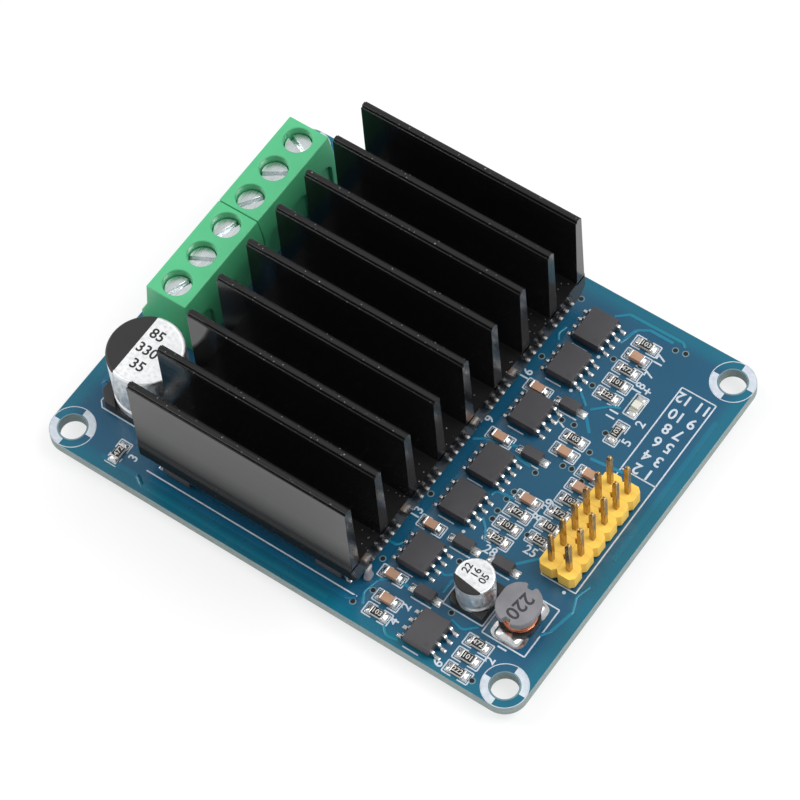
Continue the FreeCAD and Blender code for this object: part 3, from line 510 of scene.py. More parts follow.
@dataclass(frozen=True)
class CutLaminate(Finish):
    """The routed edge of the board: layers of glass cloth in resin, lighter and darker by turns."""

    layers: float = 8.0

    def dress(self, sheet: ShaderSheet) -> None:
        """Build the finish's nodes on a sheet."""
        layers = sheet.effect(SharedEffects.streaks(), Stretch=(0.06, 0.06, 1.0),
                              Scale=self.layers / MILLIMETRE)
        colour = sheet.blend(layers, self.shade(0.78), self.shade(1.15))
        sheet.link(colour, sheet.shader.inputs["Base Color"])
        fluff = sheet.effect(SharedEffects.mottle(), Scale=5000.0, Detail=3.0)
        sheet.set(Roughness=self.roughness)
        sheet.relief(fluff, 0.03)


@dataclass(frozen=True)
class PrintedInk(Finish):
    """Screen-printed ink: matt, a little uneven at a close look, with pinholes."""

    pinhole: Colour = (0.05, 0.1, 0.15)

    def dress(self, sheet: ShaderSheet) -> None:
        """Build the finish's nodes on a sheet."""
        body = sheet.effect(SharedEffects.mottle(), Scale=1500.0, Detail=3.0)
        colour = sheet.blend(body, self.shade(0.84), self.shade(1.04))
        holes = sheet.effect(SharedEffects.specks(), Scale=2600.0, Size=0.12, Share=0.08)
        sheet.link(sheet.over(holes, colour, self.pinhole), sheet.shader.inputs["Base Color"])
        sheet.set(Roughness=self.roughness)
        sheet.relief(body, 0.006)


@dataclass(frozen=True)
class Anodised(Finish):
    """Black anodised extrusion: die lines along the fins, a satin bloom and stray dust.

    The outer face towards -Y has its specular level turned down near its foot: painted shade that stands in
    for the dark, shaded board that it reflects there.

    Attributes:
        bloom: Colour of the satin bloom.
    """

    bloom: Colour = (0.02, 0.02, 0.02)

    def dress(self, sheet: ShaderSheet) -> None:
        """Build the finish's nodes on a sheet."""
        lines = sheet.effect(SharedEffects.streaks(), Stretch=(0.012, 1.0, 1.0), Scale=2400.0)
        colour = sheet.blend(lines, self.colour, self.bloom)
        dust = sheet.settled(sheet.effect(SharedEffects.specks(), Scale=900.0, Size=0.085, Share=0.6), 0.15)
        colour = sheet.over(dust, colour, screen_colour(132, 130, 126))
        flecks = sheet.settled(sheet.effect(SharedEffects.specks(), Scale=1700.0, Size=0.14, Share=0.6), 0.08)
        sheet.link(sheet.over(flecks, colour, screen_colour(110, 108, 108)),
                   sheet.shader.inputs["Base Color"])
        gloss = sheet.effect(SharedEffects.streaks(), Stretch=(0.012, 1.0, 1.0), Scale=1400.0,
                             Low=self.roughness - 0.03, High=self.roughness + 0.04)
        sheet.link(gloss, sheet.shader.inputs["Roughness"])
        # Painted shade: lower specular level near the foot of the -Y outer face, in place of the reflection
        # of the shaded board below it.
        rise = sheet.effect(SharedEffects.ramp(), Start=10.4 * MILLIMETRE, End=15.0 * MILLIMETRE)
        front = sheet.effect(SharedEffects.ramp(), Direction=(0.0, -1.0, 0.0), Start=24.6 * MILLIMETRE,
                             End=24.8 * MILLIMETRE)
        foot_shade_mask = sheet.add("ShaderNodeMath", operation="SUBTRACT", use_clamp=True)
        sheet.link(front, foot_shade_mask.inputs[0])
        sheet.link(rise, foot_shade_mask.inputs[1])
        painted_foot_shade = sheet.add("ShaderNodeMapRange")
        sheet.link(foot_shade_mask.outputs["Value"], painted_foot_shade.inputs["Value"])
        painted_foot_shade.inputs["To Min"].default_value = 0.5
        painted_foot_shade.inputs["To Max"].default_value = 0.06
        sheet.link(painted_foot_shade.outputs["Result"], sheet.shader.inputs["Specular IOR Level"])
        sheet.relief(lines, 0.0012)


@dataclass(frozen=True)
class BrightSolder(Finish):
    """Reflowed solder: bright, lightly dimpled, with a dull grain where it froze last."""

    def dress(self, sheet: ShaderSheet) -> None:
        """Build the finish's nodes on a sheet."""
        frost = sheet.effect(SharedEffects.mottle(), Scale=3200.0, Detail=4.0)
        sheet.link(sheet.blend(frost, self.colour, self.shade(0.86)), sheet.shader.inputs["Base Color"])
        gloss = sheet.effect(SharedEffects.mottle(), Scale=2600.0, Low=self.roughness - 0.08,
                             High=self.roughness + 0.16)
        sheet.link(gloss, sheet.shader.inputs["Roughness"])
        sheet.set(Metallic=1.0)
        sheet.relief(frost, 0.006)


@dataclass(frozen=True)
class ClearResin(Finish):
    """Clear or milky resin: light goes in and scatters.

    Attributes:
        scatter: How far light travels inside, in millimetres.
        clearness: Share of the light that goes straight through.
    """

    scatter: float = 0.6
    clearness: float = 0.25

    def dress(self, sheet: ShaderSheet) -> None:
        """Build the finish's nodes on a sheet."""
        clouds = sheet.effect(SharedEffects.mottle(), Scale=900.0)
        sheet.link(sheet.blend(clouds, self.shade(0.9), self.shade(1.05)), sheet.shader.inputs["Base Color"])
        gloss = sheet.effect(SharedEffects.mottle(), Scale=1800.0, Low=self.roughness,
                             High=self.roughness + 0.12)
        sheet.link(gloss, sheet.shader.inputs["Roughness"])
        sheet.set(Transmission_Weight=self.clearness, Subsurface_Weight=0.35,
                  Subsurface_Scale=self.scatter * MILLIMETRE)
        sheet.relief(clouds, 0.02)


@dataclass(frozen=True)
class Finishes:
    """Every finish on the module."""

    mask: Finish = SolderMask("blue_solder_mask", screen_colour(18, 78, 108), 0.24,
                              screen_colour(24, 86, 116))
    masked_copper: Finish = SolderMask("masked_copper", screen_colour(20, 116, 148), 0.24,
                                       screen_colour(26, 124, 156), screen_colour(16, 122, 140))
    faint_copper: Finish = SolderMask("wide_copper", screen_colour(14, 90, 124), 0.24,
                                      screen_colour(20, 96, 130), screen_colour(10, 106, 128))
    laminate: Finish = CutLaminate("cut_laminate", screen_colour(142, 156, 154), 0.7)
    ink: Finish = PrintedInk("white_print", screen_colour(200, 209, 218), 0.6)
    faint_ink: Finish = PrintedInk("thin_print", screen_colour(112, 140, 148), 0.5, (0.03, 0.08, 0.1))
    via_fill: Finish = MouldedPlastic("filled_via", screen_colour(4, 5, 6), 0.7, dust=0.0)
    tinned: Finish = WorkedMetal("tinned_pad", (0.74, 0.75, 0.76), 0.3, marks=3.0, depth=0.004)
    solder: Finish = BrightSolder("bright_solder", (0.86, 0.87, 0.88), 0.22)
    lead: Finish = WorkedMetal("tinned_lead", (0.80, 0.80, 0.79), 0.24, marks=5.0, tarnish=0.3)
    anodised: Finish = Anodised("black_anodised", screen_colour(18, 18, 19), 0.15, screen_colour(22, 22, 23))
    silicone: Finish = ClearResin("thermal_silicone", screen_colour(164, 164, 168), 0.3, 0.8, 0.1)
    epoxy: Finish = MouldedPlastic("moulded_epoxy", screen_colour(67, 66, 69), 0.5, grain=14.0, depth=0.008)
    epoxy_mark: Finish = MouldedPlastic("polished_epoxy_dimple", screen_colour(63, 62, 65), 0.38, grain=14.0,
                                        depth=0.002)
    alumina: Finish = MouldedPlastic("white_alumina", screen_colour(206, 206, 200), 0.55, grain=20.0)
    glaze: Finish = MouldedPlastic("black_glaze", screen_colour(26, 26, 28), 0.24, grain=10.0, depth=0.003)
    digit: Finish = PrintedInk("resistor_digits", screen_colour(205, 205, 202), 0.5, (0.02, 0.02, 0.02))
    ceramic: Finish = MouldedPlastic("capacitor_ceramic", screen_colour(184, 144, 118), 0.42, grain=16.0,
                                     variation=0.14)
    end_cap: Finish = WorkedMetal("tinned_end_cap", (0.80, 0.79, 0.77), 0.28, marks=7.0, depth=0.006,
                                  tarnish=0.3)
    terminal: Finish = MouldedPlastic("green_polyamide", screen_colour(80, 181, 127), 0.36, grain=11.0,
                                      depth=0.004, variation=0.04)
    zinc: Finish = WorkedMetal("zinc_plated_screw", (0.88, 0.93, 0.95), 0.28, (1.0, 0.06, 1.0), 7.0, 0.006,
                               0.14)
    clamp_steel: Finish = WorkedMetal("plated_clamp", (0.68, 0.68, 0.66), 0.32, (1.0, 0.1, 1.0), 6.0, 0.004,
                                      0.2)
    contact: Finish = WorkedMetal("tin_plated_contact", (0.78, 0.77, 0.74), 0.28, (0.1, 1.0, 1.0), 6.0,
                                  0.004, 0.2)
    insulator: Finish = MouldedPlastic("yellow_polyester", screen_colour(255, 206, 88), 0.45, grain=8.0,
                                       depth=0.012, variation=0.05)
    pin: Finish = WorkedMetal("flashed_pin", screen_colour(196, 164, 116), 0.26, (1.0, 1.0, 0.05), 9.0,
                              0.005, 0.4)
    can: Finish = WorkedMetal("drawn_can", (0.88, 0.89, 0.90), 0.48, (1.0, 1.0, 0.5), 2.0, 0.0008, 0.04)
    can_ink: Finish = MouldedPlastic("black_can_print", screen_colour(28, 26, 27), 0.5, grain=12.0,
                                     depth=0.003, dust=0.0)
    base: Finish = MouldedPlastic("black_resin_base", screen_colour(34, 35, 37), 0.42, grain=10.0,
                                  depth=0.006)
    ferrite: Finish = MouldedPlastic("ground_ferrite", screen_colour(122, 121, 126), 0.5, grain=10.0,
                                     depth=0.012, variation=0.16)
    ferrite_ink: Finish = PrintedInk("ferrite_digits", screen_colour(46, 48, 52), 0.5, (0.15, 0.15, 0.16))
    copper: Finish = WorkedMetal("enamelled_copper", screen_colour(232, 146, 110), 0.2, marks=4.0,
                                 depth=0.003, tarnish=0.35)
    lens: Finish = ClearResin("lamp_lens", screen_colour(244, 242, 228), 0.12, 0.5, 0.2)
    carrier: Finish = MouldedPlastic("lamp_carrier", screen_colour(214, 220, 206), 0.5)


FINISH = Finishes()


# Shapes


def circle(radius: float, z: float, sides: int, x: float = 0.0, y: float = 0.0) -> Ring:
    """A level circle as a ring of points, anticlockwise."""
    step = 2 * math.pi / sides
    return [(x + radius * math.cos(step * i), y + radius * math.sin(step * i), z) for i in range(sides)]


def rounded_rectangle(half_x: float, half_y: float, radius: float, z: float, steps: int = 3) -> Ring:
    """A level rectangle with rounded corners as a ring of points, anticlockwise.

    Args:
        half_x: Half its length along X.
        half_y: Half its length along Y.
        radius: Corner radius.
        z: Its height.
        steps: Steps in each corner.

    Returns:
        The ring.
    """
    ring = []
    corners = ((1, 1, 0), (-1, 1, 90), (-1, -1, 180), (1, -1, 270))
    for side_x, side_y, start in corners:
        for index in range(steps + 1):
            angle = math.radians(start + 90 * index / steps)
            ring.append((side_x * (half_x - radius) + radius * math.cos(angle),
                         side_y * (half_y - radius) + radius * math.sin(angle), z))
    return ring


def rounded_corners(outline: Sequence[Pair], radius: float, steps: int = 4) -> list[Pair]:
    """Round the corners of a flat outline.

    Args:
        outline: Corner points in order.
        radius: Length cut from each side of a corner.
        steps: Steps in each corner.

    Returns:
        The rounded outline.
    """
    rounded = []
    count = len(outline)
    for index in range(count):
        before, here, after = (Vector(outline[(index + shift) % count]) for shift in (-1, 0, 1))
        cut = min(radius, (before - here).length / 2, (after - here).length / 2)
        start = here + (before - here).normalized() * cut
        end = here + (after - here).normalized() * cut
        for step in range(steps + 1):
            share = step / steps
            point = start * (1 - share) ** 2 + here * 2 * share * (1 - share) + end * share ** 2
            rounded.append((point.x, point.y))
    return rounded


def sector(inner: float, outer: float, start: float, end: float) -> list[Pair]:
    """A part of a ring as a flat outline.

    Args:
        inner: Inner radius.
        outer: Outer radius.
        start: Where it starts, in degrees.
        end: Where it ends, in degrees.

    Returns:
        The outline.
    """
    angles = [math.radians(start + (end - start) * step / 16) for step in range(17)]
    far = [(outer * math.cos(angle), outer * math.sin(angle)) for angle in angles]
    near = [(inner * math.cos(angle), inner * math.sin(angle)) for angle in reversed(angles)]
    return far + near


def ring_route(x: float, y: float, radius: float) -> list[Pair]:
    """A closed circular route about a place on the board."""
    ring = [(point[0], point[1]) for point in circle(radius, 0.0, 48, x, y)]
    return ring + ring[:1]


def moved(x: float = 0.0, y: float = 0.0, z: float = 0.0, turn: float = 0.0) -> Matrix:
    """A place: a turn about Z in degrees, then a move."""
    return Matrix.Translation((x, y, z)) @ Matrix.Rotation(math.radians(turn), 4, "Z")


class Draft:
    """A mesh being drawn in millimetres, each of its faces with a finish."""

    def __init__(self) -> None:
        """Start empty."""
        self.points: list[Vector] = []
        self.faces: list[tuple[int, ...]] = []
        self.finishes: list[Finish] = []

    def add(self, points: Iterable[Sequence[float]], faces: Iterable[Sequence[int]], finish: Finish,
            place: Optional[Matrix] = None) -> None:
        """Add faces to the mesh.

        Args:
            points: Their points.
            faces: Faces as indices into the points.
            finish: Their finish.
            place: Where they go.
        """
        start = len(self.points)
        place = place or Matrix()
        self.points.extend(place @ Vector(point) for point in points)
        for face in faces:
            self.faces.append(tuple(start + index for index in face))
            self.finishes.append(finish)

    def loft(self, rings: Sequence[Ring], finish: Finish, place: Optional[Matrix] = None,
             last: Optional[Finish] = None) -> None:
        """Join rings of equal length into a closed skin whose faces point outwards.

        Args:
            rings: The rings, in order.
            finish: The skin's finish.
            place: Where it goes.
            last: A finish of its own for the last ring's face.
        """
        count = len(rings[0])
        points = [Vector(point) for ring in rings for point in ring]
        faces = [tuple(reversed(range(count)))]
        for level in range(len(rings) - 1):
            low = level * count
            for index in range(count):
                following = (index + 1) % count
                faces.append((low + index, low + following, low + count + following, low + count + index))
        faces.append(tuple((len(rings) - 1) * count + index for index in range(count)))
        volume = 0.0
        for face in faces:
            for second, third in zip(face[1:-1], face[2:]):
                volume += points[face[0]].dot(points[second].cross(points[third]))
        if volume < 0:
            faces = [tuple(reversed(face)) for face in faces]
        self.add(points, faces[:-1], finish, place)
        self.add(points, faces[-1:], last or finish, place)

    def turned(self, profile: Sequence[Pair], finish: Finish, sides: int,
               place: Optional[Matrix] = None, last: Optional[Finish] = None) -> None:
        """Turn a profile of radius and height pairs, from the foot to the top."""
        self.loft([circle(max(radius, 0.001), z, sides) for radius, z in profile], finish, place, last)

    def slab(self, outline: Sequence[Pair], low: float, high: float, finish: Finish,
             place: Optional[Matrix] = None) -> None:
        """Raise a flat outline between two heights."""
        self.loft([[(x, y, z) for x, y in outline] for z in (low, high)], finish, place)

    def block(self, half: Pair, low: float, high: float, finish: Finish,
              place: Optional[Matrix] = None, edge: float = 0.05, taper: float = 0.0) -> None:
        """A block with softened edges.

        Args:
            half: Half its length along X and Y.
            low: Its foot.
            high: Its top.
            finish: Its finish.
            place: Where it goes.
            edge: Radius of its edges.
            taper: How much narrower each side is at the top.
        """
        half_x, half_y = half
        corner = edge * 1.2
        self.loft([
            rounded_rectangle(half_x - edge, half_y - edge, corner, low),
            rounded_rectangle(half_x, half_y, corner, low + edge),
            rounded_rectangle(half_x - taper, half_y - taper, corner, high - edge),
            rounded_rectangle(half_x - taper - edge * 0.35, half_y - taper - edge * 0.35, corner,
                              high - edge * 0.35),
            rounded_rectangle(half_x - taper - edge, half_y - taper - edge, corner, high),
        ], finish, place)

    def strip(self, path: Sequence[Pair], width: float, thickness: float, finish: Finish,
              place: Optional[Matrix] = None) -> None:
        """A flat strip bent along a path in X and Z.

        Args:
            path: The middle of the strip, as X and Z pairs.
            width: Its width along Y.
            thickness: Its thickness.
            finish: Its finish.
            place: Where it goes.
        """
        rings = []
        for index, here in enumerate(path):
            before, after = path[max(index - 1, 0)], path[min(index + 1, len(path) - 1)]
            run = Vector((after[0] - before[0], after[1] - before[1])).normalized() * thickness / 2
            across = width / 2
            bevel = min(0.2 * thickness, 0.2 * width)
            shrunk = 1 - 2 * bevel / thickness
            rings.append([(here[0] - run.y * u, y, here[1] + run.x * u)
                          for u, y in ((1, across - bevel), (shrunk, across), (-shrunk, across),
                                       (-1, across - bevel), (-1, bevel - across), (-shrunk, -across),
                                       (shrunk, -across), (1, bevel - across))])
        self.loft(rings, finish, place)

    def mound(self, half: Pair, height: float, finish: Finish, place: Optional[Matrix] = None,
              lean: float = 0.0) -> None:
        """A rounded heap, such as solder that has wetted a pad.

        Args:
            half: Half its length along X and Y.
            height: Its height.
            finish: Its finish.
            place: Where it goes.
            lean: How far its peak is moved along X, as a share of its half length.
        """
        rings = []
        for share in (1.0, 0.93, 0.78, 0.55, 0.28):
            rise = height * math.sqrt(1 - share ** 2)
            ring = []
            for x, y, _ in rounded_rectangle(half[0] * share, half[1] * share, min(half) * share * 0.6, 0.0):
                ring.append((x + lean * half[0] * (1 - share), y, rise))
            rings.append(ring)
        self.loft(rings, finish, place)

    def take(self, mesh: Mesh, finish: Finish, place: Optional[Matrix] = None) -> None:
        """Add a finished mesh that is in metres, and delete it.

        Args:
            mesh: The mesh.
            finish: Its finish here.
            place: Where it goes.
        """
        points = [vertex.co / MILLIMETRE for vertex in mesh.vertices]
        self.add(points, [tuple(polygon.vertices) for polygon in mesh.polygons], finish, place)
        bpy.data.meshes.remove(mesh)

    def mesh(self, name: str, crease: float = 32.0) -> Mesh:
        """The drawing as a mesh in metres.

        Args:
            name: The mesh's name.
            crease: Edges that turn more than this many degrees stay sharp.

        Returns:
            The mesh.
        """
        mesh = bpy.data.meshes.new(name)
        mesh.from_pydata([point * MILLIMETRE for point in self.points], [], self.faces)
        palette = list(dict.fromkeys(self.finishes))
        for finish in palette:
            mesh.materials.append(finish.material())
        mesh.polygons.foreach_set("material_index", [palette.index(finish) for finish in self.finishes])
        mesh.polygons.foreach_set("use_smooth", [True] * len(self.faces))
        mesh.set_sharp_from_angle(angle=math.radians(crease))
        mesh.update()
        return mesh

    def piece(self, name: str, slot: Slot, replaces: Sequence[str] = (), body: str = MODULE,
              bevel: float = 0.0) -> bpy.types.Object:
        """Make the drawing a piece of the object."""
        return as_piece(self.mesh(name), name, replaces, body, bevel)


def in_scene(mesh: Mesh, name: str) -> bpy.types.Object:
    """Put a mesh into the scene as an object at the origin."""
    thing = bpy.data.objects.new(name, mesh)
    bpy.context.scene.collection.objects.link(thing)
    return thing


def worked_out(thing: bpy.types.Object) -> Mesh:
    """The object's shape with its modifiers worked out, as a plain mesh; the object is deleted.

    Args:
        thing: The object.

    Returns:
        The plain mesh.
    """
    graph = bpy.context.evaluated_depsgraph_get()
    mesh = bpy.data.meshes.new_from_object(thing.evaluated_get(graph), depsgraph=graph)
    bpy.data.objects.remove(thing)
    return mesh


def in_finish(mesh: Mesh, finish: Finish, crease: float) -> Mesh:
    """Give a whole mesh one finish and smooth shading.

    Args:
        mesh: The mesh.
        finish: Its finish.
        crease: Edges that turn more than this many degrees stay sharp.

    Returns:
        The same mesh.
    """
    mesh.materials.clear()
    mesh.materials.append(finish.material())
    for polygon in mesh.polygons:
        polygon.material_index = 0
        polygon.use_smooth = True
    mesh.set_sharp_from_angle(angle=math.radians(crease))
    return mesh


def carved(blank: Mesh, cutters: Sequence[Mesh], finish: Finish,
           crease: float = 30.0) -> Mesh:
    """Take shapes out of a blank.

    Args:
        blank: The blank, in metres.
        cutters: The shapes to take out.
        finish: The finish of what is left.
        crease: Edges that turn more than this many degrees stay sharp.

    Returns:
        The carved mesh.
    """
    body = in_scene(blank, "blank")
    tools = []
    for cutter in cutters:
        tools.append(in_scene(cutter, "cutter"))
        carve = body.modifiers.new("carve", "BOOLEAN")
        carve.operation = "DIFFERENCE"
        carve.solver = "EXACT"
        carve.object = tools[-1]
    mesh = worked_out(body)
    for tool in tools:
        bpy.data.objects.remove(tool)
    return in_finish(mesh, finish, crease)


def as_piece(mesh: Mesh, name: str, replaces: Sequence[str] = (), body: str = MODULE,
             bevel: float = 0.0) -> bpy.types.Object:
    """Finish a mesh's edges and shading and make it a piece of the object.

    Args:
        mesh: The mesh, in metres.
        name: The piece's name.
        replaces: The nodes it stands for.
        body: The body it rides on.
        bevel: Width of the bevel on its sharp edges, in millimetres.

    Returns:
        The piece.
    """
    draft = in_scene(mesh, f"{name}_draft")
    if bevel > 0:
        edges = draft.modifiers.new("edges", "BEVEL")
        edges.width = bevel * MILLIMETRE
        edges.segments = 2
        edges.limit_method = "ANGLE"
        edges.angle_limit = math.radians(34)
    shading = draft.modifiers.new("shading", "WEIGHTED_NORMAL")
    shading.keep_sharp = True
    finished = worked_out(draft)
    finished.name = name
    piece = in_scene(finished, name)
    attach(piece, body)
    if replaces:
        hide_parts(*replaces)
    log.info("%s: %d faces on %s", name, len(finished.polygons), body)
    return piece


def refined_copy(node: str, finish: Finish, bevel: float) -> Mesh:
    """A copy of a node's mesh, its triangles joined into whole faces and its edges softened.

    Args:
        node: The node.
        finish: Its finish.
        bevel: Width of the bevel in millimetres.

    Returns:
        The mesh.
    """
    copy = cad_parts[node].data.copy()
    drawing = bmesh.new()
    drawing.from_mesh(copy)
    bmesh.ops.remove_doubles(drawing, verts=drawing.verts, dist=0.001 * MILLIMETRE)
    bmesh.ops.dissolve_limit(drawing, angle_limit=math.radians(1), verts=drawing.verts, edges=drawing.edges)
    sharp = [edge for edge in drawing.edges
             if len(edge.link_faces) == 2 and edge.calc_face_angle(0.0) > math.radians(30)]
    bmesh.ops.bevel(drawing, geom=sharp, offset=bevel * MILLIMETRE, segments=2, affect="EDGES", profile=0.5,
                    clamp_overlap=True)
    drawing.to_mesh(copy)
    drawing.free()
    return in_finish(copy, finish, 50.0)


def glyphs(text: str, height: float) -> Mesh:
    """Plain characters as a thin mesh in metres, centred on the origin, reading along X.

    Args:
        text: The characters.
        height: Their height in millimetres.

    Returns:
        The mesh.
    """
    curve = bpy.data.curves.new("glyphs", "FONT")
    curve.body = text
    curve.align_x = "CENTER"
    curve.align_y = "CENTER"
    curve.resolution_u = 3
    curve.size = height / 0.72 * MILLIMETRE
    curve.extrude = 0.006 * MILLIMETRE
    curve.offset = 0.025 * height * MILLIMETRE
    thing = bpy.data.objects.new("glyphs", curve)
    bpy.context.scene.collection.objects.link(thing)
    mesh = worked_out(thing)
    bpy.data.curves.remove(curve)
    return mesh


# Geometry Nodes


class NodeSketch:
    """A Geometry Nodes tree being written: its inputs, its nodes and its closing steps."""

    def __init__(self, name: str) -> None:
        """Start a tree with a geometry input and output."""
        self.tree = bpy.data.node_groups.new(name, "GeometryNodeTree")
        self.tree.interface.new_socket("Geometry", in_out="INPUT", socket_type="NodeSocketGeometry")
        self.tree.interface.new_socket("Geometry", in_out="OUTPUT", socket_type="NodeSocketGeometry")
        self.enter = self.tree.nodes.new("NodeGroupInput")
        self.leave = self.tree.nodes.new("NodeGroupOutput")

    def input(self, name: str, kind: str, default: object = None) -> Socket:
        """Add a named input.

        Args:
            name: The input's name.
            kind: Its socket type.
            default: Its default value.

        Returns:
            The socket that carries it inside the tree.
        """
        socket = self.tree.interface.new_socket(name, in_out="INPUT", socket_type=kind)
        if default is not None:
            socket.default_value = default
        return self.enter.outputs[name]

    def add(self, kind: str, links: Optional[dict[str, Socket]] = None,
            values: Optional[dict[str, object]] = None, **settings: object) -> bpy.types.Node:
        """Add a node.

        Args:
            kind: The node's type.
            links: Sockets to link, by input name.
            values: Plain values, by input name.
            **settings: The node's own properties.

        Returns:
            The node.
        """
        node = self.tree.nodes.new(kind)
        for name, value in settings.items():
            setattr(node, name, value)
        for name, socket in (links or {}).items():
            self.tree.links.new(socket, node.inputs[name])
        for name, value in (values or {}).items():
            node.inputs[name].default_value = value
        return node

    def maths(self, operation: str, first: object, second: object) -> Socket:
        """One sum on sockets or plain numbers.

        Args:
            operation: What it does.
            first: First socket or number.
            second: Second socket or number.

        Returns:
            The result.
        """
        node = self.tree.nodes.new("ShaderNodeMath")
        node.operation = operation
        for index, value in enumerate((first, second)):
            if isinstance(value, Socket):
                self.tree.links.new(value, node.inputs[index])
            else:
                node.inputs[index].default_value = value
        return node.outputs[0]

    def raised(self, mesh: bpy.types.Node, height: Socket) -> Socket:
        """Move what a mesh node makes up by a height."""
        lift = self.add("ShaderNodeCombineXYZ", {"Z": height})
        return self.add("GeometryNodeTransform", {
            "Geometry": mesh.outputs["Mesh"], "Translation": lift.outputs["Vector"]}).outputs["Geometry"]

    def close(self, geometry: Socket) -> Tree:
        """End the tree: real geometry instead of instances, in the finish that is asked for.

        Args:
            geometry: What the tree has made.

        Returns:
            The finished tree.
        """
        material = self.input("Finish", "NodeSocketMaterial")
        real = self.add("GeometryNodeRealizeInstances", {"Geometry": geometry})
        dressed = self.add("GeometryNodeSetMaterial",
                           {"Geometry": real.outputs["Geometry"], "Material": material})
        self.tree.links.new(dressed.outputs["Geometry"], self.leave.inputs["Geometry"])
        return self.tree


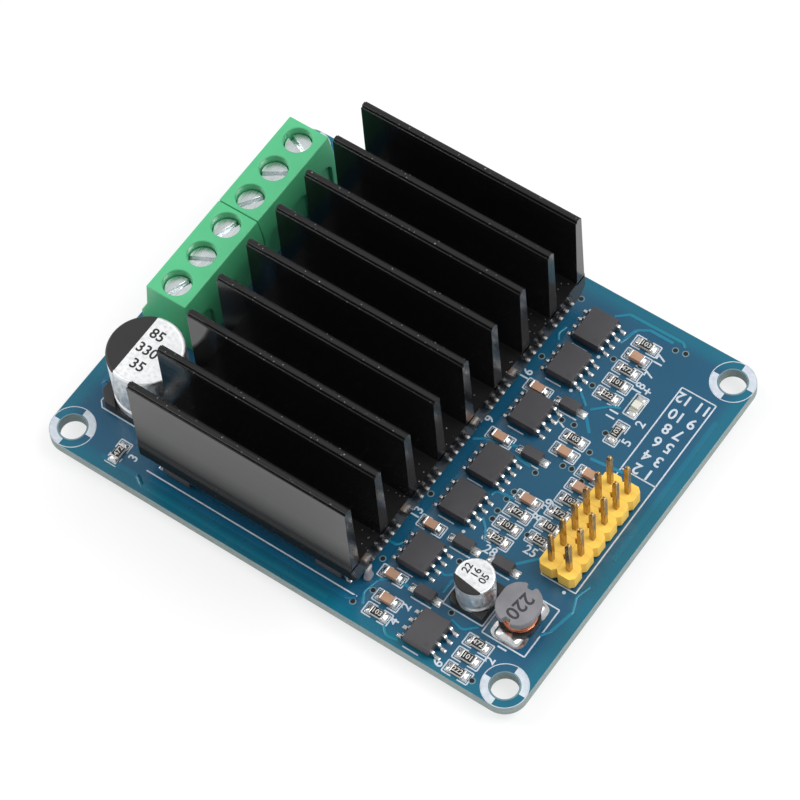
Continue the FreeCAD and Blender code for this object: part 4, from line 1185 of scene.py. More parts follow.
class Trees:
    """The Geometry Nodes trees, each built once."""

    @staticmethod
    @built_once
    def repeat_on_grid(name: str) -> Tree:
        """Repeat the object's own mesh over a level grid that starts at its place."""
        sketch = NodeSketch(name)
        columns = sketch.input("Columns", "NodeSocketInt", 2)
        rows = sketch.input("Rows", "NodeSocketInt", 2)
        pitch_x = sketch.input("Column Pitch", "NodeSocketFloat", 0.002)
        pitch_y = sketch.input("Row Pitch", "NodeSocketFloat", 0.002)
        width = sketch.maths("MULTIPLY", pitch_x, sketch.maths("SUBTRACT", columns, 1.0))
        depth = sketch.maths("MULTIPLY", pitch_y, sketch.maths("SUBTRACT", rows, 1.0))
        points = sketch.add("GeometryNodeMeshGrid",
                            {"Size X": width, "Size Y": depth, "Vertices X": columns, "Vertices Y": rows})
        corner = sketch.add("ShaderNodeCombineXYZ", {
            "X": sketch.maths("MULTIPLY", width, 0.5), "Y": sketch.maths("MULTIPLY", depth, 0.5)})
        started = sketch.add("GeometryNodeSetPosition",
                             {"Geometry": points.outputs["Mesh"], "Offset": corner.outputs["Vector"]})
        laid = sketch.add("GeometryNodeInstanceOnPoints",
                          {"Points": started.outputs["Geometry"],
                           "Instance": sketch.enter.outputs["Geometry"]})
        return sketch.close(laid.outputs["Instances"])

    @staticmethod
    @built_once
    def set_on_points(name: str) -> Tree:
        """Set a piece on every point of the object's mesh."""
        sketch = NodeSketch(name)
        piece = sketch.input("Piece", "NodeSocketObject")
        source = sketch.add("GeometryNodeObjectInfo", {"Object": piece})
        laid = sketch.add("GeometryNodeInstanceOnPoints",
                          {"Points": sketch.enter.outputs["Geometry"],
                           "Instance": source.outputs["Geometry"]})
        return sketch.close(laid.outputs["Instances"])

    @staticmethod
    @built_once
    def ribbon_along_lines(name: str) -> Tree:
        """Run a flat ribbon along every line of the object's mesh."""
        sketch = NodeSketch(name)
        width = sketch.input("Width", "NodeSocketFloat", 0.0004)
        height = sketch.input("Height", "NodeSocketFloat", 0.00003)
        corner = sketch.input("Corner Radius", "NodeSocketFloat", 0.0002)
        lines = sketch.add("GeometryNodeMeshToCurve", {"Mesh": sketch.enter.outputs["Geometry"]})
        rounded = sketch.add("GeometryNodeFilletCurve", {"Curve": lines.outputs["Curve"], "Radius": corner},
                             {"Count": 3, "Limit Radius": True}, mode="POLY")
        level = sketch.add("GeometryNodeSetCurveNormal", {"Curve": rounded.outputs["Curve"]}, mode="Z_UP")
        section = sketch.add("GeometryNodeCurvePrimitiveQuadrilateral", {"Width": width, "Height": height})
        swept = sketch.add("GeometryNodeCurveToMesh",
                           {"Curve": level.outputs["Curve"], "Profile Curve": section.outputs["Curve"]},
                           {"Fill Caps": True})
        return sketch.close(swept.outputs["Mesh"])

    @staticmethod
    @built_once
    def wound_layer(name: str) -> Tree:
        """Wind one layer of round wire about the Z axis."""
        sketch = NodeSketch(name)
        radius = sketch.input("Radius", "NodeSocketFloat", 0.002)
        height = sketch.input("Height", "NodeSocketFloat", 0.002)
        turns = sketch.input("Turns", "NodeSocketFloat", 6.0)
        wire = sketch.input("Wire Radius", "NodeSocketFloat", 0.0002)
        spiral = sketch.add("GeometryNodeCurveSpiral", {
            "Rotations": turns, "Start Radius": radius, "End Radius": radius, "Height": height},
                            {"Resolution": 40})
        section = sketch.add("GeometryNodeCurvePrimitiveCircle", {"Radius": wire}, {"Resolution": 8})
        swept = sketch.add("GeometryNodeCurveToMesh",
                           {"Curve": spiral.outputs["Curve"], "Profile Curve": section.outputs["Curve"]},
                           {"Fill Caps": True})
        return sketch.close(swept.outputs["Mesh"])

    @staticmethod
    @built_once
    def slotted_screw(name: str) -> Tree:
        """A slotted cheese-head screw: head, shank and a slot turned as it was left."""
        sketch = NodeSketch(name)
        head_radius = sketch.input("Head Radius", "NodeSocketFloat", 0.00175)
        head_height = sketch.input("Head Height", "NodeSocketFloat", 0.0015)
        shank_radius = sketch.input("Shank Radius", "NodeSocketFloat", 0.00125)
        shank_length = sketch.input("Shank Length", "NodeSocketFloat", 0.004)
        slot_width = sketch.input("Slot Width", "NodeSocketFloat", 0.00055)
        slot_depth = sketch.input("Slot Depth", "NodeSocketFloat", 0.0008)
        turn = sketch.input("Turn", "NodeSocketFloat", 0.0)
        seat = sketch.input("Seat", "NodeSocketVector")
        head = sketch.add("GeometryNodeMeshCylinder", {"Radius": head_radius, "Depth": head_height},
                          {"Vertices": 64})
        head_up = sketch.raised(head, sketch.maths("MULTIPLY", head_height, 0.5))
        overlap = sketch.maths("MULTIPLY", head_height, 0.4)
        reach = sketch.maths("ADD", shank_length, overlap)
        shank = sketch.add("GeometryNodeMeshCylinder", {"Radius": shank_radius, "Depth": reach},
                           {"Vertices": 32})
        shank_down = sketch.raised(shank,
                                   sketch.maths("SUBTRACT", overlap, sketch.maths("MULTIPLY", reach, 0.5)))
        slot_size = sketch.add("ShaderNodeCombineXYZ", {
            "X": sketch.maths("MULTIPLY", head_radius, 3.0), "Y": slot_width,
            "Z": sketch.maths("MULTIPLY", slot_depth, 2.0)})
        slot = sketch.add("GeometryNodeMeshCube", {"Size": slot_size.outputs["Vector"]})
        whole = sketch.add("GeometryNodeMeshBoolean", {"Mesh 2": head_up}, operation="UNION", solver="EXACT")
        sketch.tree.links.new(shank_down, whole.inputs["Mesh 2"])
        cut = sketch.add("GeometryNodeMeshBoolean", {
            "Mesh 1": whole.outputs["Mesh"], "Mesh 2": sketch.raised(slot, head_height)},
            operation="DIFFERENCE", solver="EXACT")
        spin = sketch.add("ShaderNodeCombineXYZ", {"Z": turn})
        seated = sketch.add("GeometryNodeTransform", {
            "Geometry": cut.outputs["Mesh"], "Translation": seat, "Rotation": spin.outputs["Vector"]})
        return sketch.close(seated.outputs["Geometry"])


def grown(tree: Tree, start: Optional[Mesh], finish: Finish, **values: object) -> Mesh:
    """Run a tree and give its result as a plain mesh.

    Args:
        tree: The Geometry Nodes tree.
        start: The mesh that it starts from, if it needs one.
        finish: The finish for its Set Material.
        **values: Its inputs, underscores standing for spaces; lengths in metres.

    Returns:
        The plain mesh.
    """
    thing = in_scene(start or bpy.data.meshes.new("start"), "grown_draft")
    modifier = thing.modifiers.new("tree", "NODES")
    modifier.node_group = tree
    named = {item.name: item.identifier for item in tree.interface.items_tree
             if item.item_type == "SOCKET" and item.in_out == "INPUT"}
    for name, value in {**values, "Finish": finish.material()}.items():
        modifier[named[name.replace("_", " ")]] = value
    return worked_out(thing)


def on_grid(template: Draft, finish: Finish, columns: int, rows: int, pitch_x: float, pitch_y: float) -> Mesh:
    """Repeat a drawn piece over a grid that starts where the piece is drawn."""
    return grown(Trees.repeat_on_grid(), template.mesh("template"), finish, Columns=columns, Rows=rows,
                 Column_Pitch=pitch_x * MILLIMETRE, Row_Pitch=pitch_y * MILLIMETRE)


def on_points(template: Draft, finish: Finish, places: Sequence[Point]) -> Mesh:
    """Set a drawn piece on each of several places.

    Args:
        template: The piece, drawn about the origin.
        finish: Its finish.
        places: The places in millimetres.

    Returns:
        The mesh of every copy.
    """
    points = bpy.data.meshes.new("places")
    points.from_pydata([Vector(place) * MILLIMETRE for place in places], [], [])
    piece = in_scene(template.mesh("template"), "template")
    made = grown(Trees.set_on_points(), points, finish, Piece=piece)
    bpy.data.objects.remove(piece)
    return made


def along_routes(routes: Sequence[Sequence[Pair]], width: float, height: float, level: float,
                 finish: Finish, corner: float = 0.12) -> Mesh:
    """Lay flat ribbons along routes on the board.

    Args:
        routes: Lists of X and Y pairs in millimetres; a route that ends where it starts is closed.
        width: Width of the ribbons.
        height: Thickness of the ribbons.
        level: Height of what they lie on.
        finish: Their finish.
        corner: Radius that their corners are rounded to.

    Returns:
        The mesh of every ribbon.
    """
    points, edges = [], []
    for route in routes:
        start, closed = len(points), tuple(route[0]) == tuple(route[-1])
        run = route[:-1] if closed else route
        points.extend(Vector((x, y, level + height / 2)) * MILLIMETRE for x, y in run)
        edges.extend((start + index, start + index + 1) for index in range(len(run) - 1))
        if closed:
            edges.append((start + len(run) - 1, start))
    lines = bpy.data.meshes.new("routes")
    lines.from_pydata(points, edges, [])
    return grown(Trees.ribbon_along_lines(), lines, finish, Width=width * MILLIMETRE,
                 Height=height * MILLIMETRE, Corner_Radius=corner * MILLIMETRE)


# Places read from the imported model


def corners(node: str) -> tuple[Vector, Vector]:
    """The lowest and the highest corner of a node, in millimetres."""
    low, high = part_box(node)
    return Vector(low) / MILLIMETRE, Vector(high) / MILLIMETRE


def solids(node: str) -> list[tuple[Vector, Vector]]:
    """Find the separate solids of a node.

    Args:
        node: The node.

    Returns:
        The lowest and highest corner of each solid, in millimetres.
    """
    drawing = bmesh.new()
    drawing.from_mesh(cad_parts[node].data)
    bmesh.ops.remove_doubles(drawing, verts=drawing.verts, dist=0.001 * MILLIMETRE)
    seen: set[bmesh.types.BMVert] = set()
    found = []
    for first in drawing.verts:
        if first in seen:
            continue
        seen.add(first)
        waiting, places = [first], []
        while waiting:
            vertex = waiting.pop()
            places.append(vertex.co / MILLIMETRE)
            for edge in vertex.link_edges:
                other = edge.other_vert(vertex)
                if other not in seen:
                    seen.add(other)
                    waiting.append(other)
        found.append((Vector([min(place[axis] for place in places) for axis in range(3)]),
                      Vector([max(place[axis] for place in places) for axis in range(3)])))
    drawing.free()
    return found


BOARD_LOW, BOARD_HIGH = corners("circuit_board")
BOARD_TOP = BOARD_HIGH.z
BOARD_FOOT = BOARD_LOW.z
PRINT = 0.018
PAD = 0.035
PIN_HALF = 0.32


# The board and what is printed and soldered on it


@dataclass
class CircuitBoard:
    """The laminate with its lacquer, tracks, vias, printed lines and lower solder joints."""

    corner_radius: float = 3.0
    hole_radius: float = 1.75
    hole_inset: float = 3.0
    edge: float = 0.06
    track_width: float = 0.42
    print_inner: float = 1.98
    print_outer: float = 2.88
    circle_radius: float = 2.92
    rim_radius: float = 1.86
    tracks: tuple[tuple[Pair, ...], ...] = (
        ((15.0, 25.0), (16.5, 26.3), (24.3, 26.4), (24.9, 25.9)),
        ((17.7, 22.2), (18.4, 24.8), (19.9, 25.7), (23.3, 25.7)),
        ((19.7, 11.4), (21.7, 9.2)),
        ((19.9, 12.1), (21.6, 13.7), (23.0, 14.3)),
        ((19.2, 12.2), (17.8, 13.3), (16.9, 14.1)),
        ((12.7, 0.8), (14.2, 1.6), (18.3, 1.4)),
        ((23.8, 6.3), (28.2, 6.8)),
        ((11.0, 18.3), (10.4, 19.2), (10.8, 20.5)),
        ((10.1, 0.8), (11.3, 1.6), (15.5, 2.9)),
        ((12.1, -25.4), (11.2, -23.9), (11.7, -21.7), (14.0, -19.6)),
        ((13.7, -20.4), (16.6, -20.5), (18.9, -20.9)),
        ((17.2, -16.6), (18.1, -16.8), (18.9, -16.1)),
        ((24.4, -10.8), (26.4, -8.6)),
        ((33.6, -8.5), (33.0, -10.5), (33.8, -12.5), (33.0, -16.1), (32.2, -17.2)),
        ((22.2, -21.2), (24.0, -21.7), (25.5, -20.2)),
        ((19.3, -18.9), (19.3, -17.0), (19.9, -15.7)),
        ((15.8, -26.3), (16.8, -27.3), (18.4, -27.0)),
        ((17.4, -7.7), (18.5, -8.7), (19.5, -10.3)),
        ((16.5, -4.5), (16.6, -3.6), (19.4, -3.5)),
        ((9.5, -16.6), (11.0, -16.5), (11.4, -15.3)),
    )
    wide_tracks: tuple[tuple[Pair, ...], ...] = (
        ((-20.0, -25.6), (9.9, -25.6), (10.9, -25.1)),
        ((-27.0, -26.2), (-21.4, -26.2), (-20.4, -26.9), (8.0, -26.9)),
        ((-33.2, -12.0), (-33.2, -17.6), (-32.0, -19.0)), ((33.9, -4.0), (33.9, 19.0)),
    )
    vias: tuple[Pair, ...] = (
        (10.03, 24.92), (10.59, 15.22), (18.3, 19.74), (21.7, 20.65), (18.2, 15.12), (17.81, 8.96),
        (19.47, 9.19), (23.35, 10.32), (23.22, 6.98), (24.06, 24.97), (25.4, 25.24), (21.53, 3.63),
        (22.69, 3.85), (19.27, 0.98), (18.62, -2.64), (18.39, -3.96), (18.4, -5.91), (18.52, -7.18),
        (23.34, -6.72), (24.66, 3.01), (18.51, -14.21), (21.67, -20.47), (10.24, -8.43), (10.52, -18.98),
        (12.04, -23.14), (10.86, -25.73), (28.87, -26.58),
    )
    dots: tuple[Pair, ...] = ((16.57, 18.98), (16.4, 13.09), (31.41, -10.82), (16.57, -10.56))

    def build(self) -> None:
        """Build the board and everything that lies on it."""
        self.sheet()
        self.copper()
        self.hole_rings()
        self.joints_below()

    def holes(self) -> list[Pair]:
        """Centres of the mounting holes."""
        x, y = BOARD_HIGH.x - self.hole_inset, BOARD_HIGH.y - self.hole_inset
        return [(x, y), (-x, y), (-x, -y), (x, -y)]

    def sheet(self) -> None:
        """The laminate: a rounded sheet with four holes, lacquered on both faces."""
        blank, drill, edge = Draft(), Draft(), self.edge
        blank.loft([rounded_rectangle(BOARD_HIGH.x - inset, BOARD_HIGH.y - inset, self.corner_radius - inset,
                                      z, 10)
                    for inset, z in ((edge, BOARD_FOOT), (0.0, BOARD_FOOT + edge), (0.0, BOARD_TOP - edge),
                                     (edge, BOARD_TOP))], FINISH.laminate)
        x, y = self.holes()[2]
        drill.turned([(self.hole_radius, BOARD_FOOT - 1.0), (self.hole_radius, BOARD_TOP + 1.0)],
                     FINISH.laminate, 64, moved(x, y))
        drills = on_grid(drill, FINISH.laminate, 2, 2, -2 * x, -2 * y)
        mesh = carved(blank.mesh("laminate"), [drills], FINISH.mask, 50.0)
        mesh.materials.append(FINISH.laminate.material())
        for polygon in mesh.polygons:
            polygon.material_index = 0 if abs(polygon.normal.z) > 0.9 else 1
        as_piece(mesh, "laminate_sheet", ["circuit_board"])

    def copper(self) -> None:
        """Tracks under the lacquer, vias with their printed rings, and printed dots."""
        routes = along_routes(self.tracks, self.track_width, 0.03, BOARD_TOP, FINISH.masked_copper, 0.8)
        as_piece(routes, "board_tracks")
        wide = along_routes(self.wide_tracks, 0.7, 0.02, BOARD_TOP, FINISH.faint_copper, 0.8)
        as_piece(wide, "board_wide_tracks")
        places = [(x, y, BOARD_TOP) for x, y in self.vias]
        self.spots("via_rings", [(0.45, 0.0), (0.43, PRINT)], FINISH.faint_ink, 24, places)
        self.spots("via_plugs", [(0.32, 0.0), (0.31, PRINT + 0.008)], FINISH.via_fill, 20, places)
        places = [(x, y, BOARD_TOP) for x, y in self.dots]
        self.spots("printed_dots", [(0.24, 0.0), (0.23, PRINT)], FINISH.ink, 16, places)

    @staticmethod
    def spots(name: str, profile: Sequence[Pair], finish: Finish, sides: int,
              places: Sequence[Point]) -> None:
        """Set a small round shape on several places as one piece of the board.

        Args:
            name: The piece's name.
            profile: The shape's radius and height pairs.
            finish: Its finish.
            sides: Points round it.
            places: The places.
        """
        spot = Draft()
        spot.turned(profile, finish, sides)
        as_piece(on_points(spot, finish, places), name)

    def hole_rings(self) -> None:
        """The printed target round each mounting hole: a thin circle, two filled quarters and a bare rim."""
        printed = Draft()
        for x, y in self.holes():
            for start in (0.0, 180.0):
                printed.slab(sector(self.print_inner, self.print_outer, start, start + 90.0), 0.0, PRINT,
                             FINISH.ink, moved(x, y, BOARD_TOP))
        printed.piece("hole_quarters", Slot.BOARD)
        rings = [ring_route(x, y, self.circle_radius) for x, y in self.holes()]
        as_piece(along_routes(rings, 0.12, PRINT, BOARD_TOP, FINISH.ink), "hole_circles")
        rims = [ring_route(x, y, self.rim_radius) for x, y in self.holes()]
        as_piece(along_routes(rims, 0.16, 0.012, BOARD_TOP, FINISH.faint_ink), "hole_rims")

    def joints_below(self) -> None:
        """Solder cones and their pads round the leads that come out under the board."""
        header_low, header_high = corners("header_pins")
        first = header_low + Vector((PIN_HALF, PIN_HALF, 0.0))
        pitch_x = header_high.x - header_low.x - 2 * PIN_HALF
        pitch_y = (header_high.y - header_low.y - 2 * PIN_HALF) / 5
        pins = [(first.x + pitch_x * row, first.y + pitch_y * column, BOARD_FOOT)
                for row in range(2) for column in range(6)]
        legs = []
        for pole in range(1, 7):
            low, high = corners(f"terminal_contact_{pole}")
            legs.append((high.x - 0.3, (low.y + high.y) / 2, BOARD_FOOT))
        self.spots("header_joints", [(0.36, -1.05), (0.40, -0.8), (0.52, -0.5), (0.74, -0.22), (0.86, 0.0)],
                   FINISH.solder, 24, pins)
        self.spots("terminal_joints", [(0.52, -1.1), (0.6, -0.85), (0.84, -0.5), (1.12, -0.22), (1.3, 0.0)],
                   FINISH.solder, 28, legs)
        self.spots("header_pads", [(0.94, -0.03), (0.95, 0.0)], FINISH.tinned, 28, pins)
        self.spots("terminal_pads", [(1.42, -0.03), (1.43, 0.0)], FINISH.tinned, 32, legs)


@dataclass
class PrintedLegend:
    """The printed outlines and plain numbers on the board."""

    line_width: float = 0.19
    text_height: float = 1.25
    table_left: float = 27.67
    table_right: float = 32.65
    table_rows: tuple[float, ...] = (8.3, 10.5, 12.8, 15.0, 17.2, 19.7)
    numbers: tuple[tuple[str, float, float, float], ...] = (
        ("28", 20.8, -11.0, 0.0), ("25", 24.9, -8.4, 0.0), ("1", 29.5, -21.1, 90.0), ("2", 29.2, -23.2, 90.0),
        ("6", 24.2, -26.9, 90.0), ("13", 10.35, -11.5, 90.0), ("2", 16.7, -22.8, 90.0),
        ("4", 16.6, -25.2, 90.0),
        ("8", 22.96, -4.0, 90.0), ("29", 23.2, -1.9, 90.0), ("18", 23.3, 17.9, 90.0), ("7", 23.3, 20.2, 90.0),
        ("17", 23.3, 22.6, 90.0), ("11", 22.6, 13.0, 90.0), ("2", 26.3, 13.7, 90.0), ("5", 26.3, 10.6, 90.0),
        ("7", 18.1, 8.4, 90.0), ("16", 10.5, 12.0, 90.0), ("9", 10.3, 4.2, 90.0), ("3", -23.4, -24.4, 90.0),
    )

    def build(self) -> None:
        """Print the outlines and the numbers."""
        lines: list[list[Pair]] = []
        for node in ("chip_resistors", "chip_capacitors"):
            for low, high in solids(node):
                lines.extend(self.brackets((low + high) / 2, high.x - low.x > high.y - low.y))
        lines.extend(self.package_bars())
        lines.extend(self.large_outlines())
        as_piece(along_routes(lines, self.line_width, PRINT, BOARD_TOP, FINISH.ink), "printed_lines")
        printed = Draft()
        for text, x, y, turn in self.numbers:
            printed.take(glyphs(text, self.text_height), FINISH.ink, moved(x, y, BOARD_TOP + PRINT / 2, turn))
        for index, y in enumerate(self.table_rows):
            printed.take(glyphs(f"{2 * index + 1} {2 * index + 2}", 1.55), FINISH.ink,
                         moved((self.table_left + self.table_right) / 2, y, BOARD_TOP + PRINT / 2, 180.0))
        printed.take(glyphs("+", 1.4), FINISH.ink, moved(24.4, 18.0, BOARD_TOP + PRINT / 2, 0.0))
        printed.piece("printed_numbers", Slot.BOARD)

    @staticmethod
    def brackets(middle: Vector, along_x: bool) -> list[list[Pair]]:
        """The two facing brackets round a chip part.

        Args:
            middle: The chip's middle.
            along_x: Whether it lies along X.

        Returns:
            The two lines.
        """
        lines = []
        for side in (-1.0, 1.0):
            run = ((side * 0.45, 0.86), (side * 1.8, 0.86), (side * 1.8, -0.86), (side * 0.45, -0.86))
            lines.append([(middle.x + (x if along_x else y), middle.y + (y if along_x else x))
                          for x, y in run])
        return lines

    @staticmethod
    def package_bars() -> list[list[Pair]]:
        """A short bar beside the first lead of each eight-lead package and along each diode."""
        lines = []
        for index in range(1, 7):
            low, high = corners(f"gate_driver_{index}")
            middle = (low.x + high.x) / 2
            lines.append([(middle - 1.7, low.y - 0.4), (middle + 0.6, low.y - 0.4)])
        low, high = corners("voltage_converter")
        lines.append([(low.x + 1.3, low.y - 0.4), (low.x + 3.6, low.y - 0.4)])
        for index in range(1, 6):
            low, high = corners(f"diode_{index}")
            lines.append([(low.x + 0.4, low.y - 0.35), (high.x - 0.3, low.y - 0.35)])
        return lines

    def large_outlines(self) -> list[list[Pair]]:
        """Outlines of the heatsink, capacitors, inductor, lamp and header, and the table by the header."""
        left, right = self.table_left, self.table_right
        return [
            [(-21.0, -24.9), (10.9, -24.9)],
            [(-31.8, -15.5), (-31.8, -20.0), (-31.1, -20.73), (-26.0, -20.73)],
            [(20.0, -19.95), (25.8, -19.95), (25.8, -14.2), (21.0, -14.2), (20.0, -15.2), (20.0, -19.95)],
            [(26.17, -20.6), (32.3, -20.6), (32.3, -13.1), (26.17, -13.1), (26.17, -20.6)],
            [(23.5, 13.85), (25.27, 13.85), (25.27, 17.2), (23.5, 17.2), (23.5, 13.85)],
            [(left, -10.2), (right, -10.2), (right, 7.27), (left, 7.27), (left, -10.2)],
            [(left, 7.27), (left, 20.93), (right, 20.93), (right, 7.27)],
        ]


# The heatsink


@dataclass
class Heatsink:
    """The finned extrusion and the silicone that it is bedded in.

    Attributes:
        bed_inset: How far the silicone sheet stays inside its node along X and Y.
        lumps: Squeezed-out lumps: X, Y, half their length and width, and how far they hang down.
        drip: Level sections of the drip: half its length and width, and the height over the board.
        tip_profile: One side of a fin's tip: share of half its thickness, and depth below the top.
    """

    bed_inset: Pair = (0.4, 1.5)
    drip: tuple[Point, ...] = ((0.42, 0.62, 0.0), (0.5, 0.7, 0.12), (0.46, 0.66, 0.5), (0.36, 0.5, 1.1),
                               (0.36, 0.52, 1.6), (0.44, 0.66, 2.1), (0.4, 0.6, 2.4), (0.2, 0.3, 2.5))
    lumps: tuple[tuple[float, float, float, float, float], ...] = (
        (9.6, -23.1, 0.6, 0.8, 0.9), (9.2, -20.4, 0.5, 0.9, 0.7), (9.2, -15.7, 0.45, 0.9, 0.5))
    base: float = 3.7
    fins: int = 9
    root: float = 1.8
    tip: float = 1.2
    flare: float = 0.55
    lower_corner: float = 1.2
    tip_profile: tuple[Pair, ...] = ((1.0, 0.42), (0.93, 0.32), (0.8, 0.3), (0.7, 0.44), (0.62, 0.44),
                                     (0.54, 0.12), (0.46, 0.02), (0.33, 0.0))

    def build(self) -> None:
        """Build the extrusion and its bedding."""
        low, high = corners("heatsink")
        top = low.z + self.base
        pitch = (high.y - low.y - self.root) / (self.fins - 1)
        section = [(low.y + self.root / 2 + y, z) for y, z in self.fin_outline(top, high.z)]
        fin = Draft()
        fin.loft([[(x, y, z) for y, z in section] for x in (low.x, high.x)], FINISH.anodised)
        whole = Draft()
        whole.take(on_grid(fin, FINISH.anodised, 1, self.fins, 1.0, pitch), FINISH.anodised)
        cut = self.lower_corner
        plate = rounded_corners([(low.y, top), (low.y, low.z + cut), (low.y + cut, low.z),
                                 (high.y - cut, low.z), (high.y, low.z + cut), (high.y, top)], 0.35, 3)
        whole.loft([[(x, y, z) for y, z in plate] for x in (low.x, high.x)], FINISH.anodised)
        whole.piece("finned_heatsink", Slot.HEATSINK, ["heatsink"], bevel=0.03)
        self.bedding()

    def fin_outline(self, foot: float, crown: float) -> list[Pair]:
        """One fin's section about its own middle: flared at the root, tapered, with a bead along its tip.

        Args:
            foot: Height of the base's upper face.
            crown: Height of the tip.

        Returns:
            The outline in Y and Z.
        """
        half_root, half_tip = self.root / 2, self.tip / 2
        right = [(half_root, foot - 0.4), (half_root, foot), (half_root - 0.12, foot + self.flare)]
        right += [(half_tip * share, crown - drop) for share, drop in self.tip_profile]
        return right + [(-y, z) for y, z in reversed(right)]

    def bedding(self) -> None:
        """The cured silicone: a sheet under the base and a drip that ran down to the board at one corner."""
        low, high = corners("thermal_adhesive")
        bed = Draft()
        inset = self.bed_inset
        bed.block(((high.x - low.x) / 2 - inset[0], (high.y - low.y) / 2 - inset[1]), low.z, high.z,
                  FINISH.silicone, moved((low.x + high.x) / 2, (low.y + high.y) / 2), edge=0.3)
        place = moved(high.x + 0.05, -21.9, turn=6.0)
        bed.loft([rounded_rectangle(half_x, half_y, min(half_x, half_y) * 0.8, BOARD_TOP + z, 5)
                  for half_x, half_y, z in self.drip], FINISH.silicone, place)
        for x, y, half_x, half_y, drop in self.lumps:
            bed.mound((half_x, half_y), drop, FINISH.silicone, moved(x, y, high.z - drop * 0.9))
            bed.mound((half_x * 0.95, half_y * 0.95), -drop * 0.6, FINISH.silicone,
                      moved(x, y, high.z - drop * 0.88))
        bed.piece("silicone_bedding", Slot.ADHESIVE, ["thermal_adhesive"])


# The screw terminals


